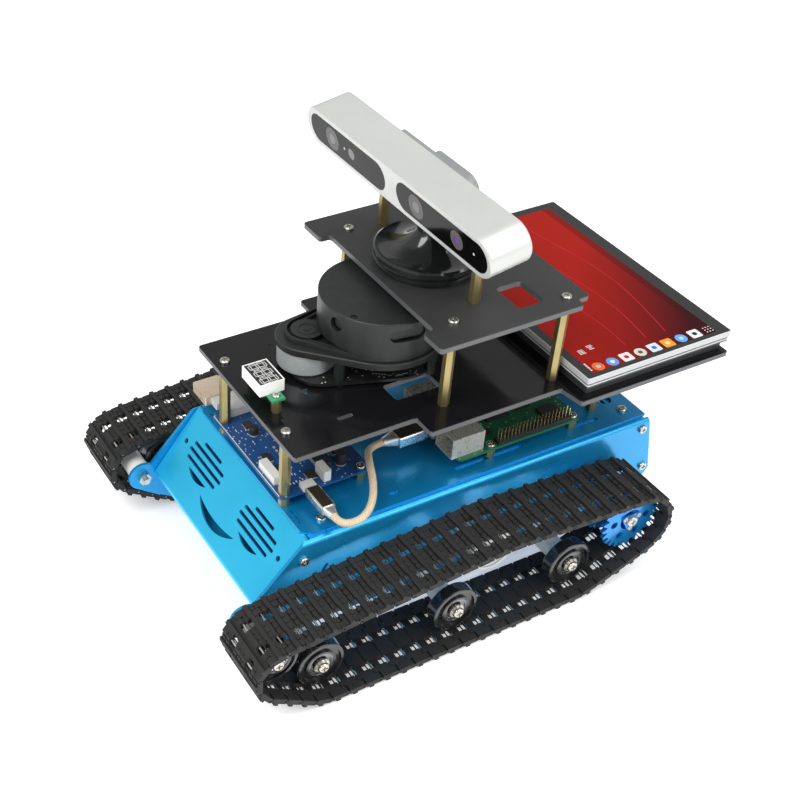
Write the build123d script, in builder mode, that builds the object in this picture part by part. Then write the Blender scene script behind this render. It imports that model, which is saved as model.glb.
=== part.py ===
"""Tracked robot platform: a folded sheet-metal tank chassis on two link tracks, carrying two acrylic
decks, two circuit boards, a spinning range finder, a tilting depth camera and a flat display.

Frame: X across (positive on the robot's left), Y from front to rear, Z up. The origin is on the ground
under the centre of the whole robot. Lengths are millimetres, angles degrees."""
from build123d import *
from math import asin, atan2, cos, degrees, hypot, pi, radians, sin, tan
import os

os.makedirs("parts", exist_ok=True)

# ---- driving dimensions -------------------------------------------------------------------------
CHASSIS_FRONT = -104.0      # Y of the front edge of the chassis top
CHASSIS_TOP = 77.631         # height of the chassis top above the ground
SHEET = 2.0                 # side plate thickness
COVER = 1.5                 # thickness of the folded covers
SIDE_OUT = 66.5             # X of the side plates' outer faces
CHASSIS_LENGTH = 231.0
ACRYLIC = 3.0               # deck thickness
BOARD = 1.6                 # circuit board thickness
BOARD_GAP = 5.8             # circuit boards above the chassis top
LOWER_DECK = 46.2           # underside of the lower deck above the chassis top
UPPER_DECK = 98.5           # underside of the upper deck above the chassis top

TRACK_MID = 92.5            # X of the middle of a track
TRACK_WIDTH = 40.0
LINK_THICK = 3.0
LINK_RIB = 1.5              # tread rib standing on a link
LINK_PITCH_AIM = 10.5
SLOT_ROW = 8.8              # slot rows each side of the track's middle
WHEEL_GAP = 0.3             # free gap between a wheel and the links
WHEEL_IN = 93.5             # X of the road wheels' inner faces
WHEEL_WIDE = 7.5
AXLE_R = 2.0
RUN_FIT = 0.05              # radial clearance of a running fit

IDLER = (-36.8, -41.3, 13.5)                  # back from the chassis front, up from its top, radius
ROAD_WHEELS = [(-9.0, -57.5, 14.5), (77.5, -57.5, 14.5), (157.0, -57.5, 14.5)]
ROLLER = (103.4, -28.7, 14.4)
SPROCKET = (195.8, -37.8, 18.9)
SPROCKET_TEETH = 24
SPROCKET_TIP = 20.0

LIDAR_AXIS = (0.0, 80.1)    # turret axis, across and back from the chassis front
LIDAR_R = 34.7
PULLEY_AXIS = (-12.6, 41.5)
PEDESTAL_AXIS = (-4.0, 110.0)
CAMERA_CENTRE = (-2.1, 93.7, 155.7)           # across, back from the front, up from the chassis top
CAMERA_PITCH = 10.0
CAMERA_SIZE = (172.8, 22.7, 24.3)             # long, high, deep
HINGE = (105.5, 131.0)      # camera tilt pin: back from the chassis front, up from its top

# ---- planes that carry the sketches -------------------------------------------------------------
corner = (0, CHASSIS_FRONT, CHASSIS_TOP)
level = Plane(origin=corner)                                        # local x across, y back
side = Plane(origin=corner, x_dir=(0, 1, 0), z_dir=(1, 0, 0))       # local x back, y up
facing = Plane(origin=corner, x_dir=(1, 0, 0), z_dir=(0, -1, 0))    # local x across, y up


def keep(part, name):
    """Label a finished piece and write it to its own file."""
    part.label = name
    export_step(part, f"parts/{name}.step")


def group(solids, name):
    """Write several loose pieces of one kind as one node."""
    keep(Compound(children=list(solids)), name)


def at(x, y, z=0.0):
    """A place given across, back from the chassis front and up from the chassis top."""
    return Location((x, CHASSIS_FRONT + y, CHASSIS_TOP + z))


def mirrored(part):
    """The same piece on the robot's other side."""
    return part.mirror(Plane.YZ)


# ---- fasteners ----------------------------------------------------------------------------------
def pan_screw(head_r, head_h, shank_r, length):
    """A cross-recessed pan head screw, head standing on Z = 0, shank below."""
    with BuildPart() as screw:
        Cylinder(head_r, head_h, align=(Align.CENTER, Align.CENTER, Align.MIN))
        fillet(screw.edges().group_by(Axis.Z)[-1], head_h * 0.55)
        with BuildSketch(Plane.XY.offset(head_h * 0.45)):
            Rectangle(head_r * 1.15, head_r * 0.3)
            Rectangle(head_r * 0.3, head_r * 1.15)
        extrude(amount=head_h, mode=Mode.SUBTRACT)
        with BuildSketch(Plane.XY):
            Circle(shank_r)
        extrude(amount=-length)
    return screw.part


def hex_post(across_flats, height, bore_r=1.25, bore_deep=7.0):
    """A hexagonal spacer standing on Z = 0 with a threaded hole in each end."""
    with BuildPart() as post:
        with BuildSketch():
            RegularPolygon(across_flats / 2, 6, major_radius=False)
        extrude(amount=height)
        deep = min(bore_deep, height / 2)
        for z in (0, height - deep):
            with BuildSketch(Plane.XY.offset(z)):
                Circle(bore_r)
            extrude(amount=deep, mode=Mode.SUBTRACT)
    return post.part


def hex_nut(across_flats, height, bore_r):
    with BuildPart() as nut:
        with BuildSketch():
            RegularPolygon(across_flats / 2, 6, major_radius=False)
            Circle(bore_r, mode=Mode.SUBTRACT)
        extrude(amount=height)
    return nut.part


# ---- chassis sheet metal ------------------------------------------------------------------------
FLANGE_IN = 50.5            # X of the side plates' top flange edges
EAR_R = 9.0
SIDE_SCREWS = [(-1.7, -13.9), (-20.7, -32.8), (227.7, -7.9), (235.0, -39.0)]
TOP_SCREWS = [(54.7, 14.8), (53.8, 221.0)]
MOTOR_SCREW_R = 9.0
BOTTOM_Z = -62.5            # underside of the bottom plate
wheel_axles = [IDLER[:2]] + [w[:2] for w in ROAD_WHEELS] + [ROLLER[:2]]

with BuildPart() as side_plate_left:
    with BuildSketch(facing):
        with BuildLine():
            FilletPolyline((FLANGE_IN, -1.5), (SIDE_OUT, -1.5), (SIDE_OUT, -80), radius=3.0)
            Line((SIDE_OUT, -80), (SIDE_OUT - SHEET, -80))
            FilletPolyline((SIDE_OUT - SHEET, -80), (SIDE_OUT - SHEET, -1.5 - SHEET),
                           (FLANGE_IN, -1.5 - SHEET), radius=1.0)
            Line((FLANGE_IN, -1.5 - SHEET), (FLANGE_IN, -1.5))
        make_face()
    extrude(amount=60)
    extrude(side_plate_left.faces().sort_by(Axis.Y)[-1], amount=260)
    with BuildSketch(side.offset(FLANGE_IN - 1)) as outline:
        with BuildLine():
            Polyline((0, 0), (-30.5, -32.7), IDLER[:2], (-30.0, -57.0), (-19, -64), (214, -64),
                     (238.6, -46), (240.7, -41.9), (236.7, -22.1), (231.9, 0), (0, 0))
        make_face()
        with Locations(IDLER[:2]):
            Circle(EAR_R)
        with BuildLine():
            Polyline((-42.2, -48.5), (-26.5, -59.8), (-20, -50), (-36.8, -41.3), (-42.2, -48.5))
        make_face()
        fillet(outline.vertices().group_by(Axis.Y)[0], 3.0)
    extrude(amount=SIDE_OUT - FLANGE_IN + 2, mode=Mode.INTERSECT)
    with BuildSketch(side.offset(SIDE_OUT - SHEET - 1)):
        with Locations(*wheel_axles):
            Circle(AXLE_R + 0.1)
        with Locations(*SIDE_SCREWS):
            Circle(1.6)
        with Locations(SPROCKET[:2]):
            Circle(4.0)
            with PolarLocations(MOTOR_SCREW_R, 4, start_angle=45):
                Circle(1.6)
        with Locations((11.4, -25.0)):
            SlotOverall(7, 2, rotation=60)
    extrude(amount=SHEET + 2, mode=Mode.SUBTRACT)
    with BuildSketch(level.offset(-1.5 - SHEET - 1)):
        with Locations(*TOP_SCREWS):
            Circle(1.6)
        with Locations((FLANGE_IN + 6, -3), (FLANGE_IN + 6, 235)):
            Rectangle(2 * (SIDE_OUT - SHEET - FLANGE_IN - 6), 11)
    extrude(amount=SHEET + 2, mode=Mode.SUBTRACT)
keep(side_plate_left.part, "side_plate_left")

with BuildPart() as side_plate_right:
    add(mirrored(side_plate_left.part))
keep(side_plate_right.part, "side_plate_right")

BOARD_HOLES = [(-34.9, 3.0), (34.9, 3.0), (-34.9, 51.0), (34.9, 51.0)]
COMPUTER_HOLES = [(3.3, 126.0), (52.3, 126.0), (3.3, 184.0), (52.3, 184.0)]
DECK_REAR_POSTS = [(-45.0, 205.0), (45.0, 205.0)]

with BuildPart() as top_plate:
    with BuildSketch(level.offset(-COVER)) as cover:
        with Locations((0, CHASSIS_LENGTH / 2)):
            Rectangle(126, CHASSIS_LENGTH)
        chamfer(cover.vertices().group_by(Axis.Y)[0], 5.0)
        with Locations(*[(s * x, y) for x, y in TOP_SCREWS for s in (-1, 1)]):
            Circle(1.6, mode=Mode.SUBTRACT)
        with Locations(*BOARD_HOLES, *COMPUTER_HOLES, *DECK_REAR_POSTS):
            Circle(1.5, mode=Mode.SUBTRACT)
        with Locations((41.5, 218.1), (-41.5, 218.1)):
            Circle(4.0, mode=Mode.SUBTRACT)
        with Locations((53.5, 125), (-53.5, 125)):
            SlotOverall(46, 2.5, rotation=90, mode=Mode.SUBTRACT)
        with Locations((53.5, 194.5), (-53.5, 194.5)):
            SlotOverall(17, 2.5, rotation=90, mode=Mode.SUBTRACT)
        with Locations((54.6, 60.8), (-54.6, 60.8)):
            SlotOverall(6, 2.5, rotation=90, mode=Mode.SUBTRACT)
        with Locations((47.2, 3.2), (-47.2, 3.2)):
            Rectangle(11.3, 1.2, mode=Mode.SUBTRACT)
    extrude(amount=COVER)
keep(top_plate.part, "top_plate")

PANEL_HALF = 64.2           # half width of the covers between the side plates
FOLD_TOP = -2.25 - 0.02     # middle of the front and rear covers' top flanges
FRONT_TURN = (0.37, FOLD_TOP)
FRONT_FOOT = (-29.7, -40.96)
slope = degrees(atan2(FRONT_TURN[1] - FRONT_FOOT[1], FRONT_TURN[0] - FRONT_FOOT[0]))


def folded_cover(points):
    """A sheet folded along a path seen from the side, its top flange narrowed to clear the side plates."""
    with BuildPart() as cover:
        with BuildSketch(side.offset(-PANEL_HALF)):
            with BuildLine():
                FilletPolyline(*points, radius=2.0)
            trace(line_width=COVER - 0.04)
        extrude(amount=2 * PANEL_HALF)
    return cover.part


front_outer = Plane(origin=(0, CHASSIS_FRONT - 3.5, CHASSIS_TOP - 6.0), x_dir=(1, 0, 0),
                    z_dir=(0, -sin(radians(slope)), cos(radians(slope))))
with BuildPart() as front_panel:
    add(folded_cover([(16, FOLD_TOP), FRONT_TURN, FRONT_FOOT, (-20, -45.5), (-12, -45.5)]))
    with BuildSketch(level.offset(-8)):
        with Locations((FLANGE_IN + 10, 12), (-FLANGE_IN - 10, 12)):
            Rectangle(21, 20.4)
    extrude(amount=8, mode=Mode.SUBTRACT)
    with BuildSketch(front_outer.offset(2)):
        with Locations((56, -13.5), (-56, -13.5)):
            Circle(1.6)
        for x in (-31.3, 31.3):
            for half, down in ((10.2, 5.0), (17.8, 9.3), (19.0, 13.8), (17.0, 18.3)):
                with Locations((x, -down)):
                    SlotOverall(2 * half, 2.0)
            with BuildLine():
                ThreePointArc((x - 10.7, -22.2), (x, -25.4), (x + 10.7, -22.2))
                Line((x + 10.7, -22.2), (x - 10.7, -22.2))
            make_face()
        with BuildLine():
            ThreePointArc((-21, -27.5), (0, -30.2), (21, -27.5))
            ThreePointArc((21, -27.5), (0, -35.4), (-21, -27.5))
        make_face()
    extrude(amount=-8, mode=Mode.SUBTRACT)
keep(front_panel.part, "front_panel")

with BuildPart() as rear_panel:
    add(folded_cover([(218, FOLD_TOP), (229.8, FOLD_TOP), (237.4, -41.0), (222.5, -53.0), (214, -53.0)]))
    with BuildSketch(level.offset(-8)):
        with Locations((FLANGE_IN + 10, 220.2), (-FLANGE_IN - 10, 220.2)):
            Rectangle(21, 18.6)
    extrude(amount=8, mode=Mode.SUBTRACT)
    with BuildSketch(facing.offset(-245)):
        for z in (-14, -19, -24):
            with Locations((-30, z), (30, z)):
                SlotOverall(34, 2.0)
    extrude(amount=20, mode=Mode.SUBTRACT)
keep(rear_panel.part, "rear_panel")

MOUNT_X, MOUNT_Y, MOUNT_MID = 50.0, 60.0, 105.0     # payload holes in the bottom plate
with BuildPart() as bottom_plate:
    with BuildSketch(level.offset(BOTTOM_Z)):
        with Locations((0, 97)):
            Rectangle(2 * PANEL_HALF, 226)
    extrude(amount=COVER)
    with BuildSketch(level.offset(BOTTOM_Z)):
        with Locations((-PANEL_HALF + COVER / 2, 97), (PANEL_HALF - COVER / 2, 97)):
            Rectangle(COVER, 226)
    extrude(amount=10)
    with BuildSketch(side.offset(-PANEL_HALF - 1)):
        with Locations(*[w[:2] for w in ROAD_WHEELS]):
            Circle(4.6)
    extrude(amount=2 * PANEL_HALF + 2, mode=Mode.SUBTRACT)
    with BuildSketch(level.offset(BOTTOM_Z - 1)):
        with Locations((0, MOUNT_MID)):
            with GridLocations(MOUNT_X, MOUNT_Y, 2, 2):
                Circle(1.6)
        with Locations((0, 30), (0, 45), (0, 165), (0, 180)):
            SlotOverall(50, 4)
    extrude(amount=COVER + 2, mode=Mode.SUBTRACT)
keep(bottom_plate.part, "bottom_plate")

# ---- drive motors and battery inside the chassis ------------------------------------------------
MOTOR_R = 12.5
SHAFT_R = 2.0
with BuildPart() as motor_left:
    with BuildSketch(side.offset(6)):
        with Locations(SPROCKET[:2]):
            Circle(MOTOR_R - 0.6)
    extrude(amount=30)
    with BuildSketch(side.offset(36)):
        with Locations(SPROCKET[:2]):
            Circle(MOTOR_R)
    extrude(amount=22)
    with BuildSketch(side.offset(58)):
        with Locations(SPROCKET[:2]):
            Circle(3.5)
    extrude(amount=5)
    with BuildSketch(side.offset(63)):
        with Locations(SPROCKET[:2]):
            Circle(SHAFT_R + RUN_FIT)
    extrude(amount=-13, mode=Mode.SUBTRACT)
keep(motor_left.part, "motor_left")

with BuildPart() as motor_right:
    add(mirrored(motor_left.part))
keep(motor_right.part, "motor_right")

with BuildPart() as motor_bracket:
    with BuildSketch(side.offset(58)):
        with Locations((SPROCKET[0], (SPROCKET[1] - 12 + BOTTOM_Z + COVER) / 2 + 12)):
            Rectangle(30, SPROCKET[1] - BOTTOM_Z - COVER + 12)
        with Locations(SPROCKET[:2]):
            Circle(3.6, mode=Mode.SUBTRACT)
    extrude(amount=COVER)
    with BuildSketch(level.offset(BOTTOM_Z + COVER)):
        with Locations((52.75, SPROCKET[0])):
            Rectangle(12, 30)
    extrude(amount=COVER)
group([motor_bracket.part, mirrored(motor_bracket.part)], "motor_brackets")

with BuildPart() as battery_pack:
    with BuildSketch(facing.offset(-66)):
        with Locations((-19, -49.5), (0, -49.5), (19, -49.5)):
            Circle(9.6)
        with Locations((0, -49.5)):
            Rectangle(38, 14)
    extrude(amount=-67)
keep(battery_pack.part, "battery_pack")

# ---- wheels -------------------------------------------------------------------------------------
def road_wheel(axle_at, radius):
    """A dished wheel with a ball race pressed into its hub, turning on a bolt."""
    race_r = 7.7
    with BuildPart() as wheel:
        with BuildSketch(side.offset(WHEEL_IN)):
            with Locations(axle_at):
                Circle(radius)
                Circle(race_r, mode=Mode.SUBTRACT)
        extrude(amount=WHEEL_WIDE)
        outer = wheel.edges().filter_by(GeomType.CIRCLE).filter_by(lambda e: abs(e.radius - radius) < 0.01)
        fillet(outer, 0.8)
        for x, way in ((WHEEL_IN + WHEEL_WIDE, -1.4), (WHEEL_IN, 1.4)):
            with BuildSketch(side.offset(x)):
                with Locations(axle_at):
                    Circle(radius - 2.2)
                    Circle(race_r + 1.4, mode=Mode.SUBTRACT)
            extrude(amount=way, mode=Mode.SUBTRACT)
    with BuildPart() as race:
        with BuildSketch(side.offset(WHEEL_IN + 0.4)):
            with Locations(axle_at):
                Circle(race_r)
                Circle(AXLE_R + RUN_FIT, mode=Mode.SUBTRACT)
        extrude(amount=WHEEL_WIDE - 0.8)
        for x, way in ((WHEEL_IN + WHEEL_WIDE - 0.4, -0.5), (WHEEL_IN + 0.4, 0.5)):
            with BuildSketch(side.offset(x)):
                with Locations(axle_at):
                    Circle(race_r - 1.3)
                    Circle(AXLE_R + 1.6, mode=Mode.SUBTRACT)
            extrude(amount=way, mode=Mode.SUBTRACT)
    return [wheel.part, race.part]


ROLLER_IN = 86.0
ROLLER_WIDE = 8.5


def return_roller():
    """The plain disc that carries the upper run of a track."""
    with BuildPart() as roller:
        with BuildSketch(side.offset(ROLLER_IN)):
            with Locations(ROLLER[:2]):
                Circle(ROLLER[2])
                Circle(AXLE_R + RUN_FIT, mode=Mode.SUBTRACT)
        extrude(amount=ROLLER_WIDE)
        outer = roller.edges().filter_by(GeomType.CIRCLE).filter_by(lambda e: abs(e.radius - ROLLER[2]) < 0.01)
        fillet(outer, 1.0)
        with BuildSketch(side.offset(ROLLER_IN + ROLLER_WIDE)):
            with Locations(ROLLER[:2]):
                Circle(ROLLER[2] - 2.5)
                Circle(6.0, mode=Mode.SUBTRACT)
        extrude(amount=-0.8, mode=Mode.SUBTRACT)
    return [roller.part]


def toothed_disc(x_in, thick, bore_r):
    """A sprocket disc with trapezoid teeth and round lightening holes."""
    root = SPROCKET_TIP - 3.2
    step = 360 / SPROCKET_TEETH
    with BuildPart() as disc:
        with BuildSketch(side.offset(x_in)):
            with Locations(SPROCKET[:2]):
                Circle(root)
                with PolarLocations(root - 0.5, SPROCKET_TEETH, start_angle=step / 2):
                    Polygon((0, -1.75), (3.2, -0.8), (3.7, 0), (3.2, 0.8), (0, 1.75), align=None)
                Circle(bore_r, mode=Mode.SUBTRACT)
                with PolarLocations(11.6, 6):
                    Circle(2.4, mode=Mode.SUBTRACT)
        extrude(amount=thick)
    return disc.part


def drive_sprocket():
    """Two toothed discs on a hub, the motor shaft, a triangular face plate and its screws."""
    thick = 2.5
    hub_r = 7.0
    inner_x = TRACK_MID - SLOT_ROW - thick / 2
    outer_x = TRACK_MID + SLOT_ROW - thick / 2
    with BuildPart() as hub:
        with BuildSketch(side.offset(inner_x - 8)):
            with Locations(SPROCKET[:2]):
                Circle(hub_r)
        extrude(amount=outer_x + 8 - inner_x)
        with BuildSketch(side.offset(inner_x - 8)):
            with Locations(SPROCKET[:2]):
                Circle(SHAFT_R + 0.01)
        extrude(amount=outer_x + 8 - inner_x, mode=Mode.SUBTRACT)
    with BuildPart() as face_plate:
        with BuildSketch(side.offset(outer_x + thick)) as plate:
            with Locations(SPROCKET[:2]):
                RegularPolygon(9.5, 3, rotation=30)
            fillet(plate.vertices(), 2.5)
            with Locations(SPROCKET[:2]):
                Circle(SHAFT_R + 0.01, mode=Mode.SUBTRACT)
        extrude(amount=1.0)
    with BuildPart() as shaft:
        with BuildSketch(side.offset(51)):
            with Locations(SPROCKET[:2]):
                Circle(SHAFT_R)
        extrude(amount=outer_x + thick + 1.0 - 51)
    face = side.offset(outer_x + thick + 1.0)
    solids = [toothed_disc(inner_x, thick, hub_r), toothed_disc(outer_x, thick, hub_r), hub.part,
              face_plate.part, shaft.part]
    big = pan_screw(3.6, 2.0, 0.8, 0.01)
    small = pan_screw(1.5, 0.8, 0.5, 0.01)
    solids.append(face.location * Location((SPROCKET[0], SPROCKET[1], 0)) * big)
    for turn in (30, 150, 270):
        across = 5.6 * cos(radians(turn))
        up = 5.6 * sin(radians(turn))
        solids.append(face.location * Location((SPROCKET[0] + across, SPROCKET[1] + up, 0)) * small)
    return solids


wheel_sets = {"idler_wheel_left": road_wheel(IDLER[:2], IDLER[2]),
              "return_roller_left": return_roller(),
              "drive_sprocket_left": drive_sprocket()}
for number, (y, z, radius) in enumerate(ROAD_WHEELS, start=1):
    wheel_sets[f"road_wheel_left_{number}"] = road_wheel((y, z), radius)
for name, solids in wheel_sets.items():
    group(solids, name)
    group([mirrored(solid) for solid in solids], name.replace("left", "right"))

# ---- axles --------------------------------------------------------------------------------------
spacers, bolts = [], []
for y, z in wheel_axles:
    rolls = (y, z) == ROLLER[:2]
    face_in = ROLLER_IN if rolls else WHEEL_IN
    face_out = ROLLER_IN + ROLLER_WIDE if rolls else WHEEL_IN + WHEEL_WIDE
    with BuildPart() as spacer:
        with BuildSketch(side.offset(SIDE_OUT)):
            with Locations((y, z)):
                Circle(6.5)
                Circle(AXLE_R + 0.1, mode=Mode.SUBTRACT)
        extrude(amount=face_in - 0.1 - SIDE_OUT)
        chamfer(spacer.edges().filter_by(GeomType.CIRCLE).group_by(Axis.X)[-1].sort_by(SortBy.RADIUS)[-1], 2.0)
    spacers.append(spacer.part)
    with BuildPart() as washer:
        with BuildSketch(side.offset(face_out + 0.1)):
            with Locations((y, z)):
                Circle(4.6)
                Circle(AXLE_R + 0.05, mode=Mode.SUBTRACT)
        extrude(amount=0.8)
        with BuildSketch(side.offset(face_out + 0.9)):
            with Locations((y, z)):
                Circle(4.0)
                Circle(AXLE_R + 0.05, mode=Mode.SUBTRACT)
        extrude(amount=0.5)
    bolt = side.offset(face_out + 1.4).location * Location((y, z, 0)) * pan_screw(
        3.4, 2.2, AXLE_R, face_out + 1.4 - 59.0)
    nut = side.offset(61.3).location * Location((y, z, 0)) * hex_nut(7.0, 3.2, AXLE_R + 0.05)
    bolts += [washer.part, bolt, nut]
group(spacers + [mirrored(s) for s in spacers], "axle_spacers")
group(bolts + [mirrored(b) for b in bolts], "axle_bolts")

# ---- tracks -------------------------------------------------------------------------------------
GROOVE_WIDE = 5.0           # sprocket groove along each slot row
GROOVE_DEEP = 2.2
KNUCKLE_R = 1.5
RECESS = KNUCKLE_R + 0.25
PIN_R = 0.7
PIN_FIT = 0.05
inner_reach = WHEEL_GAP + KNUCKLE_R
turning = [ROAD_WHEELS[0], ROAD_WHEELS[-1], SPROCKET, ROLLER, IDLER]      # in the order the pins pass them


def pin_loop(pitch):
    """The closed line that the track pins follow: tangent runs and arcs, as (length, start, heading,
    radius). On an arc the middle of each straight link still clears the wheel."""
    circles = [(y, z, hypot(r + inner_reach, pitch / 2)) for y, z, r in turning]
    headings = []
    for (y0, z0, r0), (y1, z1, r1) in zip(circles, circles[1:] + circles[:1]):
        headings.append(atan2(z1 - z0, y1 - y0) - asin((r1 - r0) / hypot(y1 - y0, z1 - z0)))
    pieces = []
    for n, heading in enumerate(headings):
        y0, z0, r0 = circles[n]
        y1, z1, r1 = circles[(n + 1) % len(circles)]
        start = (y0 + r0 * sin(heading), z0 - r0 * cos(heading))
        end = (y1 + r1 * sin(heading), z1 - r1 * cos(heading))
        pieces.append((hypot(end[0] - start[0], end[1] - start[1]), start, heading, 0.0))
        turn = (headings[(n + 1) % len(headings)] - heading) % (2 * pi)
        pieces.append((r1 * turn, (y1, z1), heading, r1))
    return pieces


def loop_point(pieces, way):
    """The point a given way along the pin loop."""
    for length, start, heading, radius in pieces * 2:
        if way <= length:
            break
        way -= length
    if radius:
        angle = heading + way / radius
        return start[0] + radius * sin(angle), start[1] - radius * cos(angle)
    return start[0] + way * cos(heading), start[1] + way * sin(heading)


def step_round(pieces, pitch, count):
    """Pins set one pitch apart, in a straight line each, and how far round the last one comes."""
    way, places = 0.0, []
    for _ in range(count):
        here = loop_point(pieces, way)
        places.append(here)
        near, far = way + 0.9 * pitch, way + 1.2 * pitch
        for _ in range(30):
            middle = (near + far) / 2
            there = loop_point(pieces, middle)
            if hypot(there[0] - here[0], there[1] - here[1]) < pitch:
                near = middle
            else:
                far = middle
        way = middle
    return places, way


def close_track(pitch_aim):
    """The pitch near the aim at which a whole number of links closes the loop, and the pins."""
    around = sum(piece[0] for piece in pin_loop(pitch_aim))
    count = round(around / pitch_aim)
    low, high = pitch_aim - 0.4, pitch_aim + 0.4
    for _ in range(40):
        pitch = (low + high) / 2
        pieces = pin_loop(pitch)
        places, way = step_round(pieces, pitch, count)
        if way > sum(piece[0] for piece in pieces):
            high = pitch
        else:
            low = pitch
    return pitch, places


LINK_PITCH, pins = close_track(LINK_PITCH_AIM)
ground = ROAD_WHEELS[0][1] - hypot(ROAD_WHEELS[0][2] + inner_reach, LINK_PITCH / 2) - LINK_THICK / 2 - LINK_RIB
print(f"track: {len(pins)} links of {LINK_PITCH:.3f} mm, ground at {CHASSIS_TOP + ground:.3f}")

knuckles_ahead = [(-20.0, -15.7), (15.7, 20.0)]
knuckles_behind = [(-15.4, -11.8), (-5.8, 5.8), (11.8, 15.4)]
with BuildPart() as link:
    body_long = LINK_PITCH - 2 * RECESS
    with Locations((0, LINK_PITCH / 2, 0)):
        Box(TRACK_WIDTH, body_long, LINK_THICK)
    for y, spans in ((LINK_PITCH, knuckles_ahead), (0.0, knuckles_behind)):
        inward = -1 if y > 0 else 1
        for x0, x1 in spans:
            with Locations(((x0 + x1) / 2, y + inward * RECESS / 2, 0)):
                Box(x1 - x0, RECESS, LINK_THICK)
            with BuildSketch(Plane.YZ.offset(x0)):
                with Locations((y, 0)):
                    Circle(KNUCKLE_R)
            extrude(amount=x1 - x0)
    with Locations((0, LINK_PITCH / 2, -LINK_THICK / 2 - LINK_RIB / 2)):
        Box(TRACK_WIDTH, 2.6, LINK_RIB)
    with Locations(*[(s * SLOT_ROW, LINK_PITCH / 2, LINK_THICK / 2 - GROOVE_DEEP / 2) for s in (-1, 1)]):
        Box(GROOVE_WIDE, LINK_PITCH, GROOVE_DEEP, mode=Mode.SUBTRACT)
    with Locations(*[(s * SLOT_ROW, LINK_PITCH - RECESS - 1.6, 0) for s in (-1, 1)]):
        Box(GROOVE_WIDE, 2.2, 4 * LINK_THICK, mode=Mode.SUBTRACT)
    with BuildSketch(Plane.YZ.offset(-TRACK_WIDTH)):
        with Locations((0, 0), (LINK_PITCH, 0)):
            Circle(PIN_R + PIN_FIT)
    extrude(amount=2 * TRACK_WIDTH, mode=Mode.SUBTRACT)

with BuildPart() as pin:
    Cylinder(PIN_R, TRACK_WIDTH - 1, rotation=(0, 90, 0))

rods = []
for name, middle in (("track_left", TRACK_MID), ("track_right", -TRACK_MID)):
    links = []
    for (y0, z0), (y1, z1) in zip(pins, pins[1:] + pins[:1]):
        heading = degrees(atan2(z1 - z0, y1 - y0))
        place = at(middle, y0, z0) * Location((0, 0, 0), (heading, 0, 0))
        links.append(place * link.part)
        rods.append(place * pin.part)
    group(links, name)
group(rods, "track_pins")

# ---- decks --------------------------------------------------------------------------------------
DECK_FRONT_POSTS = [(-34.9, 3.0), (34.9, 3.0)]
DECK_POSTS = DECK_FRONT_POSTS + DECK_REAR_POSTS
UPPER_POSTS = [(-51.7, 89.4), (51.7, 89.4), (-59.6, 155.4), (59.6, 155.4)]
CAMERA_POSTS = [(PEDESTAL_AXIS[0] - 44.6, 110.0), (PEDESTAL_AXIS[0] + 44.6, 110.0)]
METER_POSTS = [(-9.8, 7.0), (16.6, 7.0)]
lower_half = [(0, -3.3), (55.5, -3.3), (55.5, 70.2), (69.6, 70.2), (69.6, 154.5), (84.8, 157.0),
              (84.8, 260.8), (0, 260.8)]

with BuildPart() as lower_deck:
    with BuildSketch(level.offset(LOWER_DECK)) as deck:
        with BuildLine():
            Polyline(*lower_half, (0, -3.3))
        make_face()
        mirror(about=Plane.YZ)
        fillet(deck.vertices().filter_by(lambda v: abs(v.X) > 1), 1.6)
        with Locations(*DECK_POSTS, *UPPER_POSTS, *METER_POSTS):
            Circle(1.5, mode=Mode.SUBTRACT)
        with Locations((30.8, 83.0), (-30.8, 83.0)):
            RectangleRounded(14.5, 29, 2.0, mode=Mode.SUBTRACT)
        with Locations((37.5, 37.0), (-37.5, 37.0)):
            SlotOverall(9.5, 2.6, rotation=90, mode=Mode.SUBTRACT)
        with Locations((8.5, 28.7)):
            RegularPolygon(3.4, 3, mode=Mode.SUBTRACT)
    extrude(amount=ACRYLIC)
    chamfer(lower_deck.faces().sort_by(Axis.Z)[-1].outer_wire().edges(), 0.25)
keep(lower_deck.part, "lower_deck")

with BuildPart() as upper_deck:
    with BuildSketch(level.offset(UPPER_DECK)) as deck:
        with BuildLine():
            Polyline((-69.5, 70.2), (-50.6, 70.2), (-50.6, 77.0), (52.8, 77.0), (52.8, 70.2), (69.5, 70.2),
                     (69.5, 160.0), (63.5, 160.0), (63.5, 168.1), (-69.5, 168.1), (-69.5, 70.2))
        make_face()
        fillet(deck.vertices(), 2.0)
        with Locations(*UPPER_POSTS, *CAMERA_POSTS):
            Circle(1.5, mode=Mode.SUBTRACT)
        with Locations((46.2, 135.2)):
            RectangleRounded(21.5, 16.5, 2.5, mode=Mode.SUBTRACT)
    extrude(amount=ACRYLIC)
    chamfer(upper_deck.faces().sort_by(Axis.Z)[-1].outer_wire().edges(), 0.25)
keep(upper_deck.part, "upper_deck")

# ---- spacers and screws -------------------------------------------------------------------------
BRIDGE_Z = 123.5
POST_AF = 5.5
BOARD_TOP = BOARD_GAP + BOARD
METER_Z = 57.5
short_post = hex_post(POST_AF, BOARD_GAP)
front_post = hex_post(POST_AF, LOWER_DECK - BOARD_TOP)
rear_post = hex_post(POST_AF, LOWER_DECK)
group([at(x, y, BOARD_TOP) * front_post for x, y in DECK_FRONT_POSTS]
      + [at(x, y) * rear_post for x, y in DECK_REAR_POSTS], "deck_standoffs_lower")
upper_post = hex_post(POST_AF, UPPER_DECK - LOWER_DECK - ACRYLIC)
group([at(x, y, LOWER_DECK + ACRYLIC) * upper_post for x, y in UPPER_POSTS], "deck_standoffs_upper")
meter_post = hex_post(4.6, METER_Z - LOWER_DECK - ACRYLIC, bore_r=0.9)
group([at(x, y) * short_post for x, y in BOARD_HOLES + COMPUTER_HOLES]
      + [at(x, y, LOWER_DECK + ACRYLIC) * meter_post for x, y in METER_POSTS], "board_standoffs")
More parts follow.
